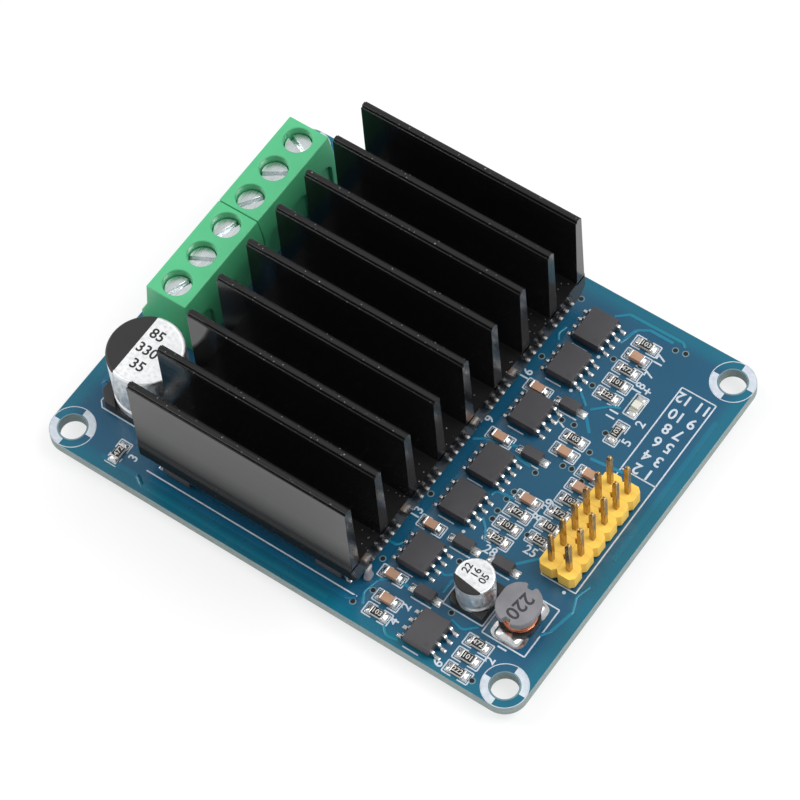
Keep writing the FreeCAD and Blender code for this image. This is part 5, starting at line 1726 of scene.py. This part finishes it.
@dataclass
class ScrewTerminals:
    """Two three-way terminal blocks with their screws, rising clamps and contact bars."""

    pole_pitch: float = 5.08
    poles: int = 3
    screw_depth: float = 4.78
    well_radius: float = 1.875
    shoulder_top: float = 7.4
    shoulder_foot: float = 7.0
    hole_radius: float = 1.45
    chamber_front: float = 2.05
    chamber_depth: float = 4.9
    chamber_width: float = 4.2
    entry_half: float = 1.6
    entry_sill: float = 0.6
    entry_height: float = 3.2
    entry_corner: float = 0.8
    arch_half: float = 1.6
    arch_height: float = 6.0
    arch_depth: float = 0.4
    head_radius: float = 1.75
    head_height: float = 1.55
    shank_radius: float = 1.25
    slot_width: float = 0.55
    slot_depth: float = 0.8
    slot_angles: tuple[float, ...] = (68.0, 27.0, 72.0, 54.0, 33.0, -19.0)

    def build(self) -> None:
        """Build the housings and their metal."""
        for block in (1, 2):
            self.housing(block)
        for pole in range(1, 7):
            self.screw(pole)
            clamp = refined_copy(f"wire_clamp_{pole}", FINISH.clamp_steel, 0.08)
            as_piece(clamp, f"rising_clamp_{pole}", [f"wire_clamp_{pole}"], f"clamp_{pole}")
            contact = refined_copy(f"terminal_contact_{pole}", FINISH.contact, 0.06)
            as_piece(contact, f"contact_bar_{pole}", [f"terminal_contact_{pole}"])

    def housing(self, block: int) -> None:
        """One moulded housing, carved for each pole.

        Args:
            block: Its number along the row.
        """
        low, high = corners(f"terminal_block_{block}")
        foot, crown = low.z, high.z
        outline = [(low.x, foot), (high.x, foot), (high.x, foot + 7.0), (high.x - 0.6, crown),
                   (low.x + 1.8, crown), (low.x + 1.2, foot + 5.6), (low.x, foot + 3.1)]
        shell = Draft()
        shell.loft([[(x, y, z) for x, z in outline] for y in (low.y, high.y)], FINISH.terminal)
        first = low.y + self.pole_pitch / 2 - 0.05
        tools = [on_grid(template, FINISH.terminal, 1, self.poles, 1.0, self.pole_pitch)
                 for template in self.cutters(low.x, high.x, first, foot, crown)]
        mesh = carved(shell.mesh("housing_shell"), tools, FINISH.terminal)
        as_piece(mesh, f"terminal_housing_{block}", [f"terminal_block_{block}"], bevel=0.13)

    def cutters(self, front: float, rear: float, first: float, foot: float, crown: float) -> list[Draft]:
        """The shapes taken out of a housing at its first pole.

        Args:
            front: X of its front foot.
            rear: X of its rear wall.
            first: Y of its first pole.
            foot: Height of its foot.
            crown: Height of its top.

        Returns:
            The shapes: screw well, shank hole, clamp chamber, wire entry and rear arch.
        """
        axis = front + self.screw_depth
        well, hole, chamber, entry, arch = Draft(), Draft(), Draft(), Draft(), Draft()
        well.turned([(self.well_radius, foot + self.shoulder_top), (self.well_radius, crown + 1.0)],
                    FINISH.terminal, 48, moved(axis, first))
        hole.turned([(self.hole_radius, foot + self.shoulder_foot - 0.5), (self.hole_radius, crown)],
                    FINISH.terminal, 40, moved(axis, first))
        near, half = axis - self.chamber_front, self.chamber_width / 2
        box = [(near, first - half), (near + self.chamber_depth, first - half),
               (near + self.chamber_depth, first + half), (near, first + half)]
        chamber.slab(box, foot - 1.0, foot + self.shoulder_foot, FINISH.terminal)
        opening = self.arched(self.entry_half, foot + self.entry_sill,
                              foot + self.entry_sill + self.entry_height, self.entry_corner)
        entry.loft([[(x, first + y, z) for y, z in opening] for x in (front - 1.0, near + 0.5)],
                   FINISH.terminal)
        recess = self.arched(self.arch_half, foot - 1.0, foot + self.arch_height, self.arch_half)
        arch.loft([[(x, first + y, z) for y, z in recess] for x in (rear - self.arch_depth, rear + 1.0)],
                  FINISH.terminal)
        return [well, hole, chamber, entry, arch]

    @staticmethod
    def arched(half: float, foot: float, crown: float, radius: float) -> list[Pair]:
        """An upright opening with rounded upper corners, as Y and Z pairs about its middle.

        Args:
            half: Half its width.
            foot: Height of its foot.
            crown: Height of its crown.
            radius: Radius of its upper corners.

        Returns:
            The outline.
        """
        outline = [(-half, foot), (half, foot)]
        for middle, start in ((half - radius, 0.0), (radius - half, 90.0)):
            for step in range(9):
                angle = math.radians(start + 90.0 * step / 8)
                outline.append((middle + radius * math.cos(angle), crown - radius + radius * math.sin(angle)))
        return [outline[index] for index in range(len(outline))
                if (Vector(outline[index]) - Vector(outline[index - 1])).length > 1e-6]

    def screw(self, pole: int) -> None:
        """One captive screw, its slot turned as it was left.

        Args:
            pole: Its number along the row.
        """
        low, high = corners(f"terminal_screw_{pole}")
        seat = high.z - self.head_height
        mesh = grown(
            Trees.slotted_screw(), None, FINISH.zinc, Head_Radius=self.head_radius * MILLIMETRE,
            Head_Height=self.head_height * MILLIMETRE,
            Shank_Radius=self.shank_radius * MILLIMETRE, Shank_Length=(seat - low.z) * MILLIMETRE,
            Slot_Width=self.slot_width * MILLIMETRE,
            Slot_Depth=self.slot_depth * MILLIMETRE, Turn=math.radians(self.slot_angles[pole - 1]),
            Seat=tuple(Vector(((low.x + high.x) / 2, (low.y + high.y) / 2, seat)) * MILLIMETRE))
        for polygon in mesh.polygons:
            polygon.use_smooth = True
        mesh.set_sharp_from_angle(angle=math.radians(30))
        as_piece(mesh, f"slotted_screw_{pole}", [f"terminal_screw_{pole}"], f"screw_{pole}",
                 bevel=0.09)


# Moulded packages


class LeadSide(Enum):
    """Which long sides of a package carry leads."""

    BOTH = (0.0, 180.0)
    TOWARDS_HEADER = (0.0,)
    TOWARDS_TERMINALS = (180.0,)


@dataclass
class EightLeadPackage:
    """A moulded package with gull-wing leads, its long sides along Y when unturned."""

    half_x: float = 1.95
    half_y: float = 2.45
    foot: float = 0.15
    parting: float = 0.9
    height: float = 1.65
    draft: float = 0.09
    lead_pitch: float = 1.27
    lead_width: float = 0.42
    lead_thickness: float = 0.2
    dimple: Pair = (1.1, -1.7)
    lead_path: tuple[Pair, ...] = ((1.8, 0.9), (2.12, 0.9), (2.22, 0.87), (2.29, 0.8), (2.4, 0.3),
                                   (2.46, 0.18), (2.55, 0.12), (2.98, 0.11))

    def draw(self, drawing: Draft, x: float, y: float, sides: LeadSide, turn: float = 0.0,
             marked: bool = True) -> None:
        """Draw one package with its solder.

        Args:
            drawing: The mesh to add to.
            x: Its middle along X.
            y: Its middle along Y.
            sides: Where its leads are.
            turn: Its turn about Z in degrees.
            marked: Whether its first lead is marked by a dimple.
        """
        place = moved(x, y, BOARD_TOP, turn)
        slim = self.draft
        rings = ((slim, 0.06, self.foot), (0.0, 0.08, self.parting - 0.03), (0.0, 0.08, self.parting + 0.03),
                 (slim, 0.08, self.height - 0.06), (slim + 0.05, 0.08, self.height - 0.015))
        drawing.loft([rounded_rectangle(self.half_x - inset, self.half_y - inset, radius, z)
                      for inset, radius, z in rings], FINISH.epoxy, place)
        if marked:
            drawing.turned([(0.33, self.height - 0.03), (0.32, self.height - 0.012)], FINISH.epoxy_mark, 24,
                           place @ moved(*self.dimple))
        for side in sides.value:
            turned = place @ moved(turn=side)
            lead, pad, joint = Draft(), Draft(), Draft()
            start = moved(0.0, -1.5 * self.lead_pitch)
            lead.strip(self.lead_path, self.lead_width, self.lead_thickness, FINISH.lead, start)
            pad.block((0.36, 0.25), 0.0, PAD, FINISH.tinned, start @ moved(2.78), edge=0.012)
            joint.mound((0.17, 0.22), 0.15, FINISH.solder, start @ moved(2.99, 0.0, 0.02), lean=-0.5)
            for template, finish in ((lead, FINISH.lead), (pad, FINISH.tinned), (joint, FINISH.solder)):
                drawing.take(on_grid(template, finish, 1, 4, 1.0, self.lead_pitch), finish, turned)


@dataclass
class Diode:
    """A small moulded diode lying along X with a flat lead at each end."""

    half_x: float = 1.35
    half_y: float = 0.78
    height: float = 1.1
    lead_half: float = 0.32

    def draw(self, drawing: Draft, low: Vector, high: Vector) -> None:
        """Draw one diode.

        Args:
            drawing: The mesh to add to.
            low: The lowest corner of its place.
            high: The highest corner of its place.
        """
        middle = (low + high) / 2
        place = moved(middle.x, middle.y, BOARD_TOP)
        reach = (high.x - low.x) / 2
        rings = ((0.07, 0.06, 0.06), (0.0, 0.08, 0.48), (0.0, 0.08, 0.54), (0.09, 0.08, self.height - 0.05),
                 (0.14, 0.08, self.height - 0.01))
        drawing.loft([rounded_rectangle(self.half_x - inset, self.half_y - inset, radius, z)
                      for inset, radius, z in rings], FINISH.epoxy, place)
        for side in (0.0, 180.0):
            turned = place @ moved(turn=side)
            drawing.strip([(1.2, 0.11), (reach - 0.02, 0.11)], self.lead_half * 2, 0.16, FINISH.lead, turned)
            drawing.block((0.55, 0.55), 0.0, PAD, FINISH.tinned, turned @ moved(reach - 0.1), edge=0.012)
            drawing.mound((0.42, 0.45), 0.2, FINISH.solder, turned @ moved(reach + 0.02, 0.0, 0.02),
                          lean=-0.5)


@dataclass
class Semiconductors:
    """Every moulded package: drivers, converter, diodes and the transistors under the heatsink.

    Attributes:
        reach: From a package's middle to its leads' tips.
    """

    reach: float = 3.0

    def build(self) -> None:
        """Build each package as its own piece."""
        package = EightLeadPackage()
        for index in range(1, 7):
            self.one(package, f"gate_driver_{index}", f"driver_package_{index}", LeadSide.BOTH)
        self.one(package, "voltage_converter", "converter_package", LeadSide.BOTH)
        for index in range(1, 9):
            low, high = corners(f"front_transistor_{index}")
            drawing = Draft()
            package.draw(drawing, high.x - self.reach, (low.y + high.y) / 2, LeadSide.TOWARDS_HEADER,
                         marked=False)
            drawing.piece(f"transistor_front_{index}", Slot.PACKAGE, [f"front_transistor_{index}"])
        drawing = Draft()
        for low, high in solids("rear_transistors"):
            package.draw(drawing, low.x + self.reach, (low.y + high.y) / 2, LeadSide.TOWARDS_TERMINALS,
                         marked=False)
        drawing.piece("transistors_rear", Slot.PACKAGE, ["rear_transistors"])
        for index in range(1, 6):
            drawing = Draft()
            Diode().draw(drawing, *corners(f"diode_{index}"))
            drawing.piece(f"moulded_diode_{index}", Slot.PACKAGE, [f"diode_{index}"])

    @staticmethod
    def one(package: EightLeadPackage, node: str, name: str, sides: LeadSide) -> None:
        """Build one package over its node.

        Args:
            package: Its sizes.
            node: The node it stands for.
            name: The piece's name.
            sides: Where its leads are.
        """
        low, high = corners(node)
        drawing = Draft()
        package.draw(drawing, (low.x + high.x) / 2, (low.y + high.y) / 2, sides)
        drawing.piece(name, Slot.PACKAGE, [node])


# Chip parts


@dataclass
class ChipParts:
    """Chip resistors, chip capacitors and the status lamp, with their solder."""

    cap: float = 0.27
    digits: tuple[str, ...] = ("103", "472", "101", "222")

    def build(self) -> None:
        """Build the chip parts of each kind as one piece."""
        resistors, capacitors = Draft(), Draft()
        for index, (low, high) in enumerate(solids("chip_resistors")):
            self.resistor(resistors, low, high, self.digits[index % len(self.digits)])
        for low, high in solids("chip_capacitors"):
            self.capacitor(capacitors, low, high)
        resistors.piece("resistor_chips", Slot.RESISTOR, ["chip_resistors"])
        capacitors.piece("capacitor_chips", Slot.CERAMIC, ["chip_capacitors"])
        self.lamp()

    @staticmethod
    def place_of(low: Vector, high: Vector) -> tuple[Matrix, float, float, float]:
        """Where a chip lies.

        Args:
            low: Its lowest corner.
            high: Its highest corner.

        Returns:
            Its place with its length along X, half its length, half its width, and its height.
        """
        size, middle = high - low, (low + high) / 2
        along_x = size.x > size.y
        place = moved(middle.x, middle.y, BOARD_TOP, 0.0 if along_x else 90.0)
        return place, max(size.x, size.y) / 2, min(size.x, size.y) / 2, size.z

    def ends(self, drawing: Draft, place: Matrix, length: float, width: float, height: float) -> None:
        """Draw the end caps, pads and solder of a chip.

        Args:
            drawing: The mesh to add to.
            place: The chip's place.
            length: Half its length.
            width: Half its width.
            height: Its height.
        """
        for side in (0.0, 180.0):
            turned = place @ moved(turn=side)
            drawing.block((self.cap / 2, width), 0.02, height, FINISH.end_cap,
                          turned @ moved(length - self.cap / 2), edge=0.05)
            drawing.block((0.46, width + 0.06), 0.0, PAD, FINISH.tinned, turned @ moved(length + 0.12),
                          edge=0.012)
            drawing.mound((0.4, width * 0.97), height * 0.8, FINISH.solder,
                          turned @ moved(length + 0.14, 0.0, 0.02), lean=-0.8)

    def resistor(self, drawing: Draft, low: Vector, high: Vector, digits: str) -> None:
        """Draw one chip resistor: a white block with a black glaze and its digits.

        Args:
            drawing: The mesh to add to.
            low: Its lowest corner.
            high: Its highest corner.
            digits: Its plain value digits.
        """
        place, length, width, height = self.place_of(low, high)
        body = length - self.cap * 0.8
        drawing.block((body, width - 0.02), 0.03, height - 0.04, FINISH.alumina, place, edge=0.02)
        drawing.block((body - 0.03, width - 0.06), height - 0.06, height - 0.012, FINISH.glaze, place,
                      edge=0.015)
        drawing.take(glyphs(digits, 0.68), FINISH.digit, place @ moved(0.0, 0.0, height - 0.008))
        self.ends(drawing, place, length, width, height - 0.01)

    def capacitor(self, drawing: Draft, low: Vector, high: Vector) -> None:
        """Draw one chip capacitor.

        Args:
            drawing: The mesh to add to.
            low: Its lowest corner.
            high: Its highest corner.
        """
        place, length, width, height = self.place_of(low, high)
        drawing.block((length - self.cap * 0.8, width - 0.03), 0.03, height - 0.03, FINISH.ceramic, place,
                      edge=0.05)
        self.ends(drawing, place, length, width, height - 0.01)

    def lamp(self) -> None:
        """Build the status lamp: a pale carrier, metal ends and a clear lens."""
        low, high = corners("status_lamp")
        drawing = Draft()
        place, length, width, height = self.place_of(low, high)
        drawing.block((length - 0.05, width), 0.02, 0.26, FINISH.carrier, place, edge=0.02)
        drawing.block((length - 0.4, width - 0.02), 0.24, height - 0.01, FINISH.lens, place, edge=0.09,
                      taper=0.05)
        self.ends(drawing, place, length, width, 0.3)
        drawing.piece("status_lamp_chip", Slot.LAMP, ["status_lamp"])


# The pin header


@dataclass
class PinHeader:
    """Two rows of square pins in a moulded insulator."""

    pitch: float = 2.54
    rows: int = 2
    columns: int = 6
    chamfer: float = 0.5
    pin_half: float = PIN_HALF
    tip: float = 0.45

    def build(self) -> None:
        """Build the insulator's cells and the pins."""
        low, high = corners("header_insulator")
        half = self.pitch / 2
        first = moved(low.x + half, low.y + half)
        cut = half - self.chamfer
        outline = [(half, -cut), (half, cut), (cut, half), (-cut, half), (-half, cut), (-half, -cut),
                   (-cut, -half), (cut, -half)]
        cell = Draft()
        cell.loft([[(x * share, y * share, z) for x, y in outline]
                   for share, z in ((0.98, low.z + 0.35), (1.0, low.z + 0.4), (1.0, high.z - 0.035),
                                    (0.99, high.z - 0.005))], FINISH.insulator, first)
        cell.loft([[(x * share, y * share, z) for x, y in outline]
                   for share, z in ((0.55, low.z + 0.005), (0.55, low.z + 0.5))], FINISH.insulator, first)
        cells = on_grid(cell, FINISH.insulator, self.rows, self.columns, self.pitch, self.pitch)
        as_piece(cells, "header_cells", ["header_insulator"])
        foot, crown = corners("header_pins")
        pin, slim = Draft(), 0.55
        pin.loft([rounded_rectangle(self.pin_half * share, self.pin_half * share, 0.04, z, 1)
                  for share, z in ((slim, foot.z + 0.01), (1.0, foot.z + self.tip), (1.0, crown.z - self.tip),
                                   (slim, crown.z - 0.03), (slim * 0.8, crown.z - 0.01))], FINISH.pin, first)
        pins = on_grid(pin, FINISH.pin, self.rows, self.columns, self.pitch, self.pitch)
        as_piece(pins, "header_pin_rows", ["header_pins"])


# Capacitors and inductor


@dataclass
class Electrolytic:
    """A surface-mount electrolytic capacitor.

    Attributes:
        name: The start of its nodes' names.
        rim: Radius of the rolled upper edge.
        chord: The straight edge of the printed sector, as two points from the can's middle; the print is on
            the right of the way from the first to the second.
        lines: Its plain numbers: text, X and Y from the middle.
        text_height: Height of the numbers.
        text_turn: Turn of the numbers in degrees.
        groove_share: Height of the rolled groove as a share of the can's.
        groove_depth: Its depth as a share of the can's radius.
        sides: Number of facets round the can.
    """

    name: str
    rim: float
    chord: tuple[Pair, Pair]
    lines: tuple[tuple[str, float, float], ...]
    text_height: float
    text_turn: float
    groove_share: float = 0.16
    groove_depth: float = 0.08
    sides: int = 96

    def build(self) -> None:
        """Build the base, the can and its print."""
        base = refined_copy(f"{self.name}_base", FINISH.base, 0.12)
        as_piece(base, f"{self.name}_seat", [f"{self.name}_base"])
        low, high = corners(f"{self.name}_can")
        middle, radius, crown = (low + high) / 2, (high.x - low.x) / 2, high.z - 0.02
        groove = low.z + (high.z - low.z) * self.groove_share
        profile = [(radius * 0.9, low.z), (radius * 0.985, low.z + 0.08), (radius, low.z + 0.3)]
        for step in range(9):
            angle = math.pi * step / 8
            inset = radius * self.groove_depth * math.sin(angle)
            profile.append((radius - inset, groove - 0.2 + 0.9 * step / 8))
        for step in range(7):
            angle = math.radians(90.0 * step / 6)
            profile.append((radius - self.rim + self.rim * math.cos(angle),
                            crown - self.rim + self.rim * math.sin(angle)))
        profile.append((radius - self.rim * 1.4, crown - 0.03))
        drawing = Draft()
        drawing.turned(profile, FINISH.can, self.sides, moved(middle.x, middle.y))
        for text, x, y in self.lines:
            drawing.take(glyphs(text, self.text_height), FINISH.can_ink,
                         moved(middle.x + x, middle.y + y, crown - 0.024, self.text_turn))
        mesh = self.printed_sector(drawing.mesh(f"{self.name}_drawn_can", 50.0), middle,
                                   crown - self.rim * 0.9)
        as_piece(mesh, f"{self.name}_drawn_can", [f"{self.name}_can"])

    def printed_sector(self, mesh: Mesh, middle: Vector, foot: float) -> Mesh:
        """Print the part of the can's top that its chord cuts off, over the rolled edge.

        Args:
            mesh: The can.
            middle: The can's middle.
            foot: Height that the print reaches down to.

        Returns:
            The same mesh, cut along the chord, its printed faces in ink.
        """
        start, end = (Vector((*point, 0.0)) for point in self.chord)
        across = (end - start).normalized().cross(Vector((0.0, 0.0, 1.0)))
        point = start + Vector((middle.x, middle.y, 0.0))
        drawing = bmesh.new()
        drawing.from_mesh(mesh)
        bmesh.ops.bisect_plane(drawing, geom=drawing.verts[:] + drawing.edges[:] + drawing.faces[:],
                               plane_co=point * MILLIMETRE, plane_no=across, dist=1e-7)
        for face in drawing.faces:
            centre = face.calc_center_median() / MILLIMETRE
            if (centre - point).dot(across) > 0 and centre.z > foot:
                face.material_index = 1
        drawing.to_mesh(mesh)
        drawing.free()
        return mesh


@dataclass
class PowerInductor:
    """A ferrite spool with its winding of enamelled wire and soldered ends."""

    flange: float = 1.05
    post: float = 1.2
    notch: float = 0.55
    wire: float = 0.2
    layers: tuple[float, ...] = (1.72, 2.06)

    def build(self) -> None:
        """Build the core, the winding and the soldered ends."""
        low, high = corners("inductor_core")
        middle = (low + high) / 2
        place = moved(middle.x, middle.y)
        half_x, half_y = (high.x - low.x) / 2, (high.y - low.y) / 2
        core = Draft()
        self.plate(core, half_x * 0.9, half_y * 0.9, low.z, low.z + self.flange, place, FINISH.base)
        self.plate(core, half_x, half_y, high.z - self.flange, high.z - 0.01, place, FINISH.ferrite)
        core.turned([(self.post, low.z + 0.5), (self.post, high.z - 0.5)], FINISH.ferrite, 32, place)
        core.take(glyphs("220", 1.8), FINISH.ferrite_ink, moved(29.4, -17.1, high.z - 0.006, -99.0))
        for side in (0.0, 180.0):
            turned = place @ moved(turn=side)
            outline = rounded_corners([(-2.3, half_y - 1.6), (2.3, half_y - 1.6), (2.3, half_y + 0.2),
                                       (1.5, half_y + 0.75), (-1.5, half_y + 0.75), (-2.3, half_y + 0.2)],
                                      0.6, 5)
            core.slab(outline, BOARD_TOP, BOARD_TOP + 0.08, FINISH.tinned, turned)
            core.mound((1.8, 1.0), 0.55, FINISH.solder, turned @ moved(0.0, half_y - 0.45, BOARD_TOP + 0.06))
        core.piece("ferrite_spool", Slot.FERRITE, ["inductor_core"])
        winding = Draft()
        foot = low.z + self.flange + self.wire
        reach = high.z - low.z - 2 * self.flange - 2 * self.wire
        for radius in self.layers:
            turns = reach / (2 * self.wire * 1.02)
            winding.take(grown(Trees.wound_layer(), None, FINISH.copper, Radius=radius * MILLIMETRE,
                               Height=reach * MILLIMETRE, Turns=turns, Wire_Radius=self.wire * MILLIMETRE),
                         FINISH.copper, moved(middle.x, middle.y, foot))
        winding.piece("copper_winding", Slot.COPPER, ["inductor_winding"])

    def plate(self, drawing: Draft, half_x: float, half_y: float, foot: float, crown: float, place: Matrix,
              finish: Finish) -> None:
        """One flange of the spool: rounded ends, flat sides and a wire notch at each end.

        Args:
            drawing: The mesh to add to.
            half_x: Half its width.
            half_y: Half its length.
            foot: Its foot.
            crown: Its top.
            place: Its place.
            finish: Its finish.
        """
        notch = self.notch
        half = [(half_x, -half_y * 0.42), (half_x, half_y * 0.42), (half_x * 0.72, half_y * 0.82),
                (notch * 1.6, half_y), (notch, half_y), (notch * 0.8, half_y - notch),
                (-notch * 0.8, half_y - notch), (-notch, half_y), (-notch * 1.6, half_y),
                (-half_x * 0.72, half_y * 0.82)]
        smooth = rounded_corners([(side * x, side * y) for side in (1.0, -1.0) for x, y in half], 0.5, 4)
        drawing.loft([[(x * share, y * share, z) for x, y in smooth] for share, z in (
            (0.975, foot), (1.0, foot + 0.08), (1.0, crown - 0.08), (0.975, crown))], finish, place)


# Studio


@dataclass
class Studio:
    """Floor, lamps, world and camera.

    Attributes:
        lamps: Each lamp's place, the point that it faces, its size and its strength.
        eye: The camera's place; right, up and back are its axes.
    """

    floor_half: float = 3.0
    floor_shade: float = 0.93
    floor_glow: float = 0.72
    lamps: tuple[tuple[Point, Point, float, float], ...] = (
        ((-0.80, -0.10, 0.75), (0.0, 0.0, 0.0), 0.55, 0.9),
        ((0.45, 0.35, 0.80), (0.0, 0.0, 0.01), 0.55, 1.45),
    )
    world: float = 0.64
    lens: float = 167.73
    eye: Point = (0.15551, -0.17868, 0.39915)
    right: Point = (0.81602, 0.57472, -0.06172)
    up: Point = (-0.46896, 0.72069, 0.51057)
    back: Point = (0.33792, -0.38769, 0.85762)

    def build(self) -> None:
        """Build the studio."""
        self.floor()
        self.light()
        self.camera()

    def floor(self) -> None:
        """A plain pale floor that stays white to the camera and keeps the object's shadow."""
        mesh = bpy.data.meshes.new("floor")
        reach = self.floor_half
        mesh.from_pydata([(x * reach, y * reach, 0.0) for x, y in ((-1, -1), (1, -1), (1, 1), (-1, 1))], [],
                         [(0, 1, 2, 3)])
        material = bpy.data.materials.new("pale_floor")
        material.use_nodes = True
        nodes = material.node_tree.nodes
        nodes.clear()
        plain = nodes.new("ShaderNodeBsdfDiffuse")
        plain.inputs["Color"].default_value = (*[self.floor_shade] * 3, 1.0)
        self.for_camera(material.node_tree, "ShaderNodeOutputMaterial", plain,
                        nodes.new("ShaderNodeEmission"), self.floor_glow)
        mesh.materials.append(material)
        in_scene(mesh, "floor")

    def light(self) -> None:
        """Soft lamps and a pale world."""
        for index, (place, aim, size, strength) in enumerate(self.lamps):
            lamp = bpy.data.lights.new(f"soft_lamp_{index}", "AREA")
            lamp.shape = "SQUARE"
            lamp.size = size
            distance = (Vector(place) - Vector(aim)).length
            lamp.energy = 4.0 * distance ** 2 * strength
            thing = bpy.data.objects.new(f"soft_lamp_{index}", lamp)
            thing.location = place
            thing.rotation_euler = (Vector(aim) - Vector(place)).to_track_quat("-Z", "Y").to_euler()
            bpy.context.scene.collection.objects.link(thing)
        scene = bpy.context.scene
        world = bpy.data.worlds.new("pale_world")
        scene.world = world
        world.use_nodes = True
        nodes = world.node_tree.nodes
        nodes.clear()
        sky, shown = nodes.new("ShaderNodeBackground"), nodes.new("ShaderNodeBackground")
        sky.inputs["Strength"].default_value = self.world
        for background in (sky, shown):
            background.inputs["Color"].default_value = (1.0, 1.0, 1.0, 1.0)
        self.for_camera(world.node_tree, "ShaderNodeOutputWorld", sky, shown, 1.0)
        scene.view_settings.view_transform = "Standard"

    @staticmethod
    def for_camera(tree: Tree, kind: str, plain: bpy.types.Node, seen: bpy.types.Node, share: float) -> None:
        """Show the camera one shader and everything else another.

        Args:
            tree: The nodes of the floor's material or of the world.
            kind: The type of the output node.
            plain: What the lamps and the object meet.
            seen: What the camera meets.
            share: How much of that the camera meets, from 0 to 1.
        """
        rays = tree.nodes.new("ShaderNodeLightPath")
        amount = tree.nodes.new("ShaderNodeMath")
        amount.operation = "MULTIPLY"
        amount.inputs[1].default_value = share
        mix = tree.nodes.new("ShaderNodeMixShader")
        tree.links.new(rays.outputs["Is Camera Ray"], amount.inputs[0])
        for source, socket in zip((amount, plain, seen), mix.inputs):
            tree.links.new(source.outputs[0], socket)
        tree.links.new(mix.outputs["Shader"], tree.nodes.new(kind).inputs["Surface"])

    def camera(self) -> None:
        """The camera, where the photograph was taken from."""
        camera = bpy.data.cameras.new("camera")
        camera.lens = self.lens
        camera.sensor_width = 36.0
        camera.clip_start = 0.01
        camera.clip_end = 20.0
        thing = bpy.data.objects.new("camera", camera)
        thing.matrix_world = Matrix((*zip(self.right, self.up, self.back, self.eye), (0.0, 0.0, 0.0, 1.0)))
        bpy.context.scene.collection.objects.link(thing)
        bpy.context.scene.camera = thing


def main() -> None:
    """Build every sub-assembly in order."""
    logging.basicConfig(level=logging.INFO, format="%(message)s")
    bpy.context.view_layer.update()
    assemblies = (
        Studio(),
        CircuitBoard(),
        PrintedLegend(),
        Heatsink(),
        ScrewTerminals(),
        Semiconductors(),
        ChipParts(),
        PinHeader(),
        Electrolytic("bulk_capacitor", 0.33, ((-1.5, 4.0), (-1.5, -4.0)),
                     (("85", 0.0, 2.45), ("330", 0.25, 0.0), ("35", 0.5, -2.3)), 1.45, 0.0),
        Electrolytic("small_capacitor", 0.2, ((-2.32, -0.96), (1.81, -1.52)),
                     (("22", -1.35, 0.45), ("16", -0.1, 0.45), ("05", 1.15, 0.3)), 0.98, 90.0),
        PowerInductor(),
    )
    for assembly in assemblies:
        log.info("building %s", type(assembly).__name__)
        assembly.build()


if __name__ == "__main__":
    main()
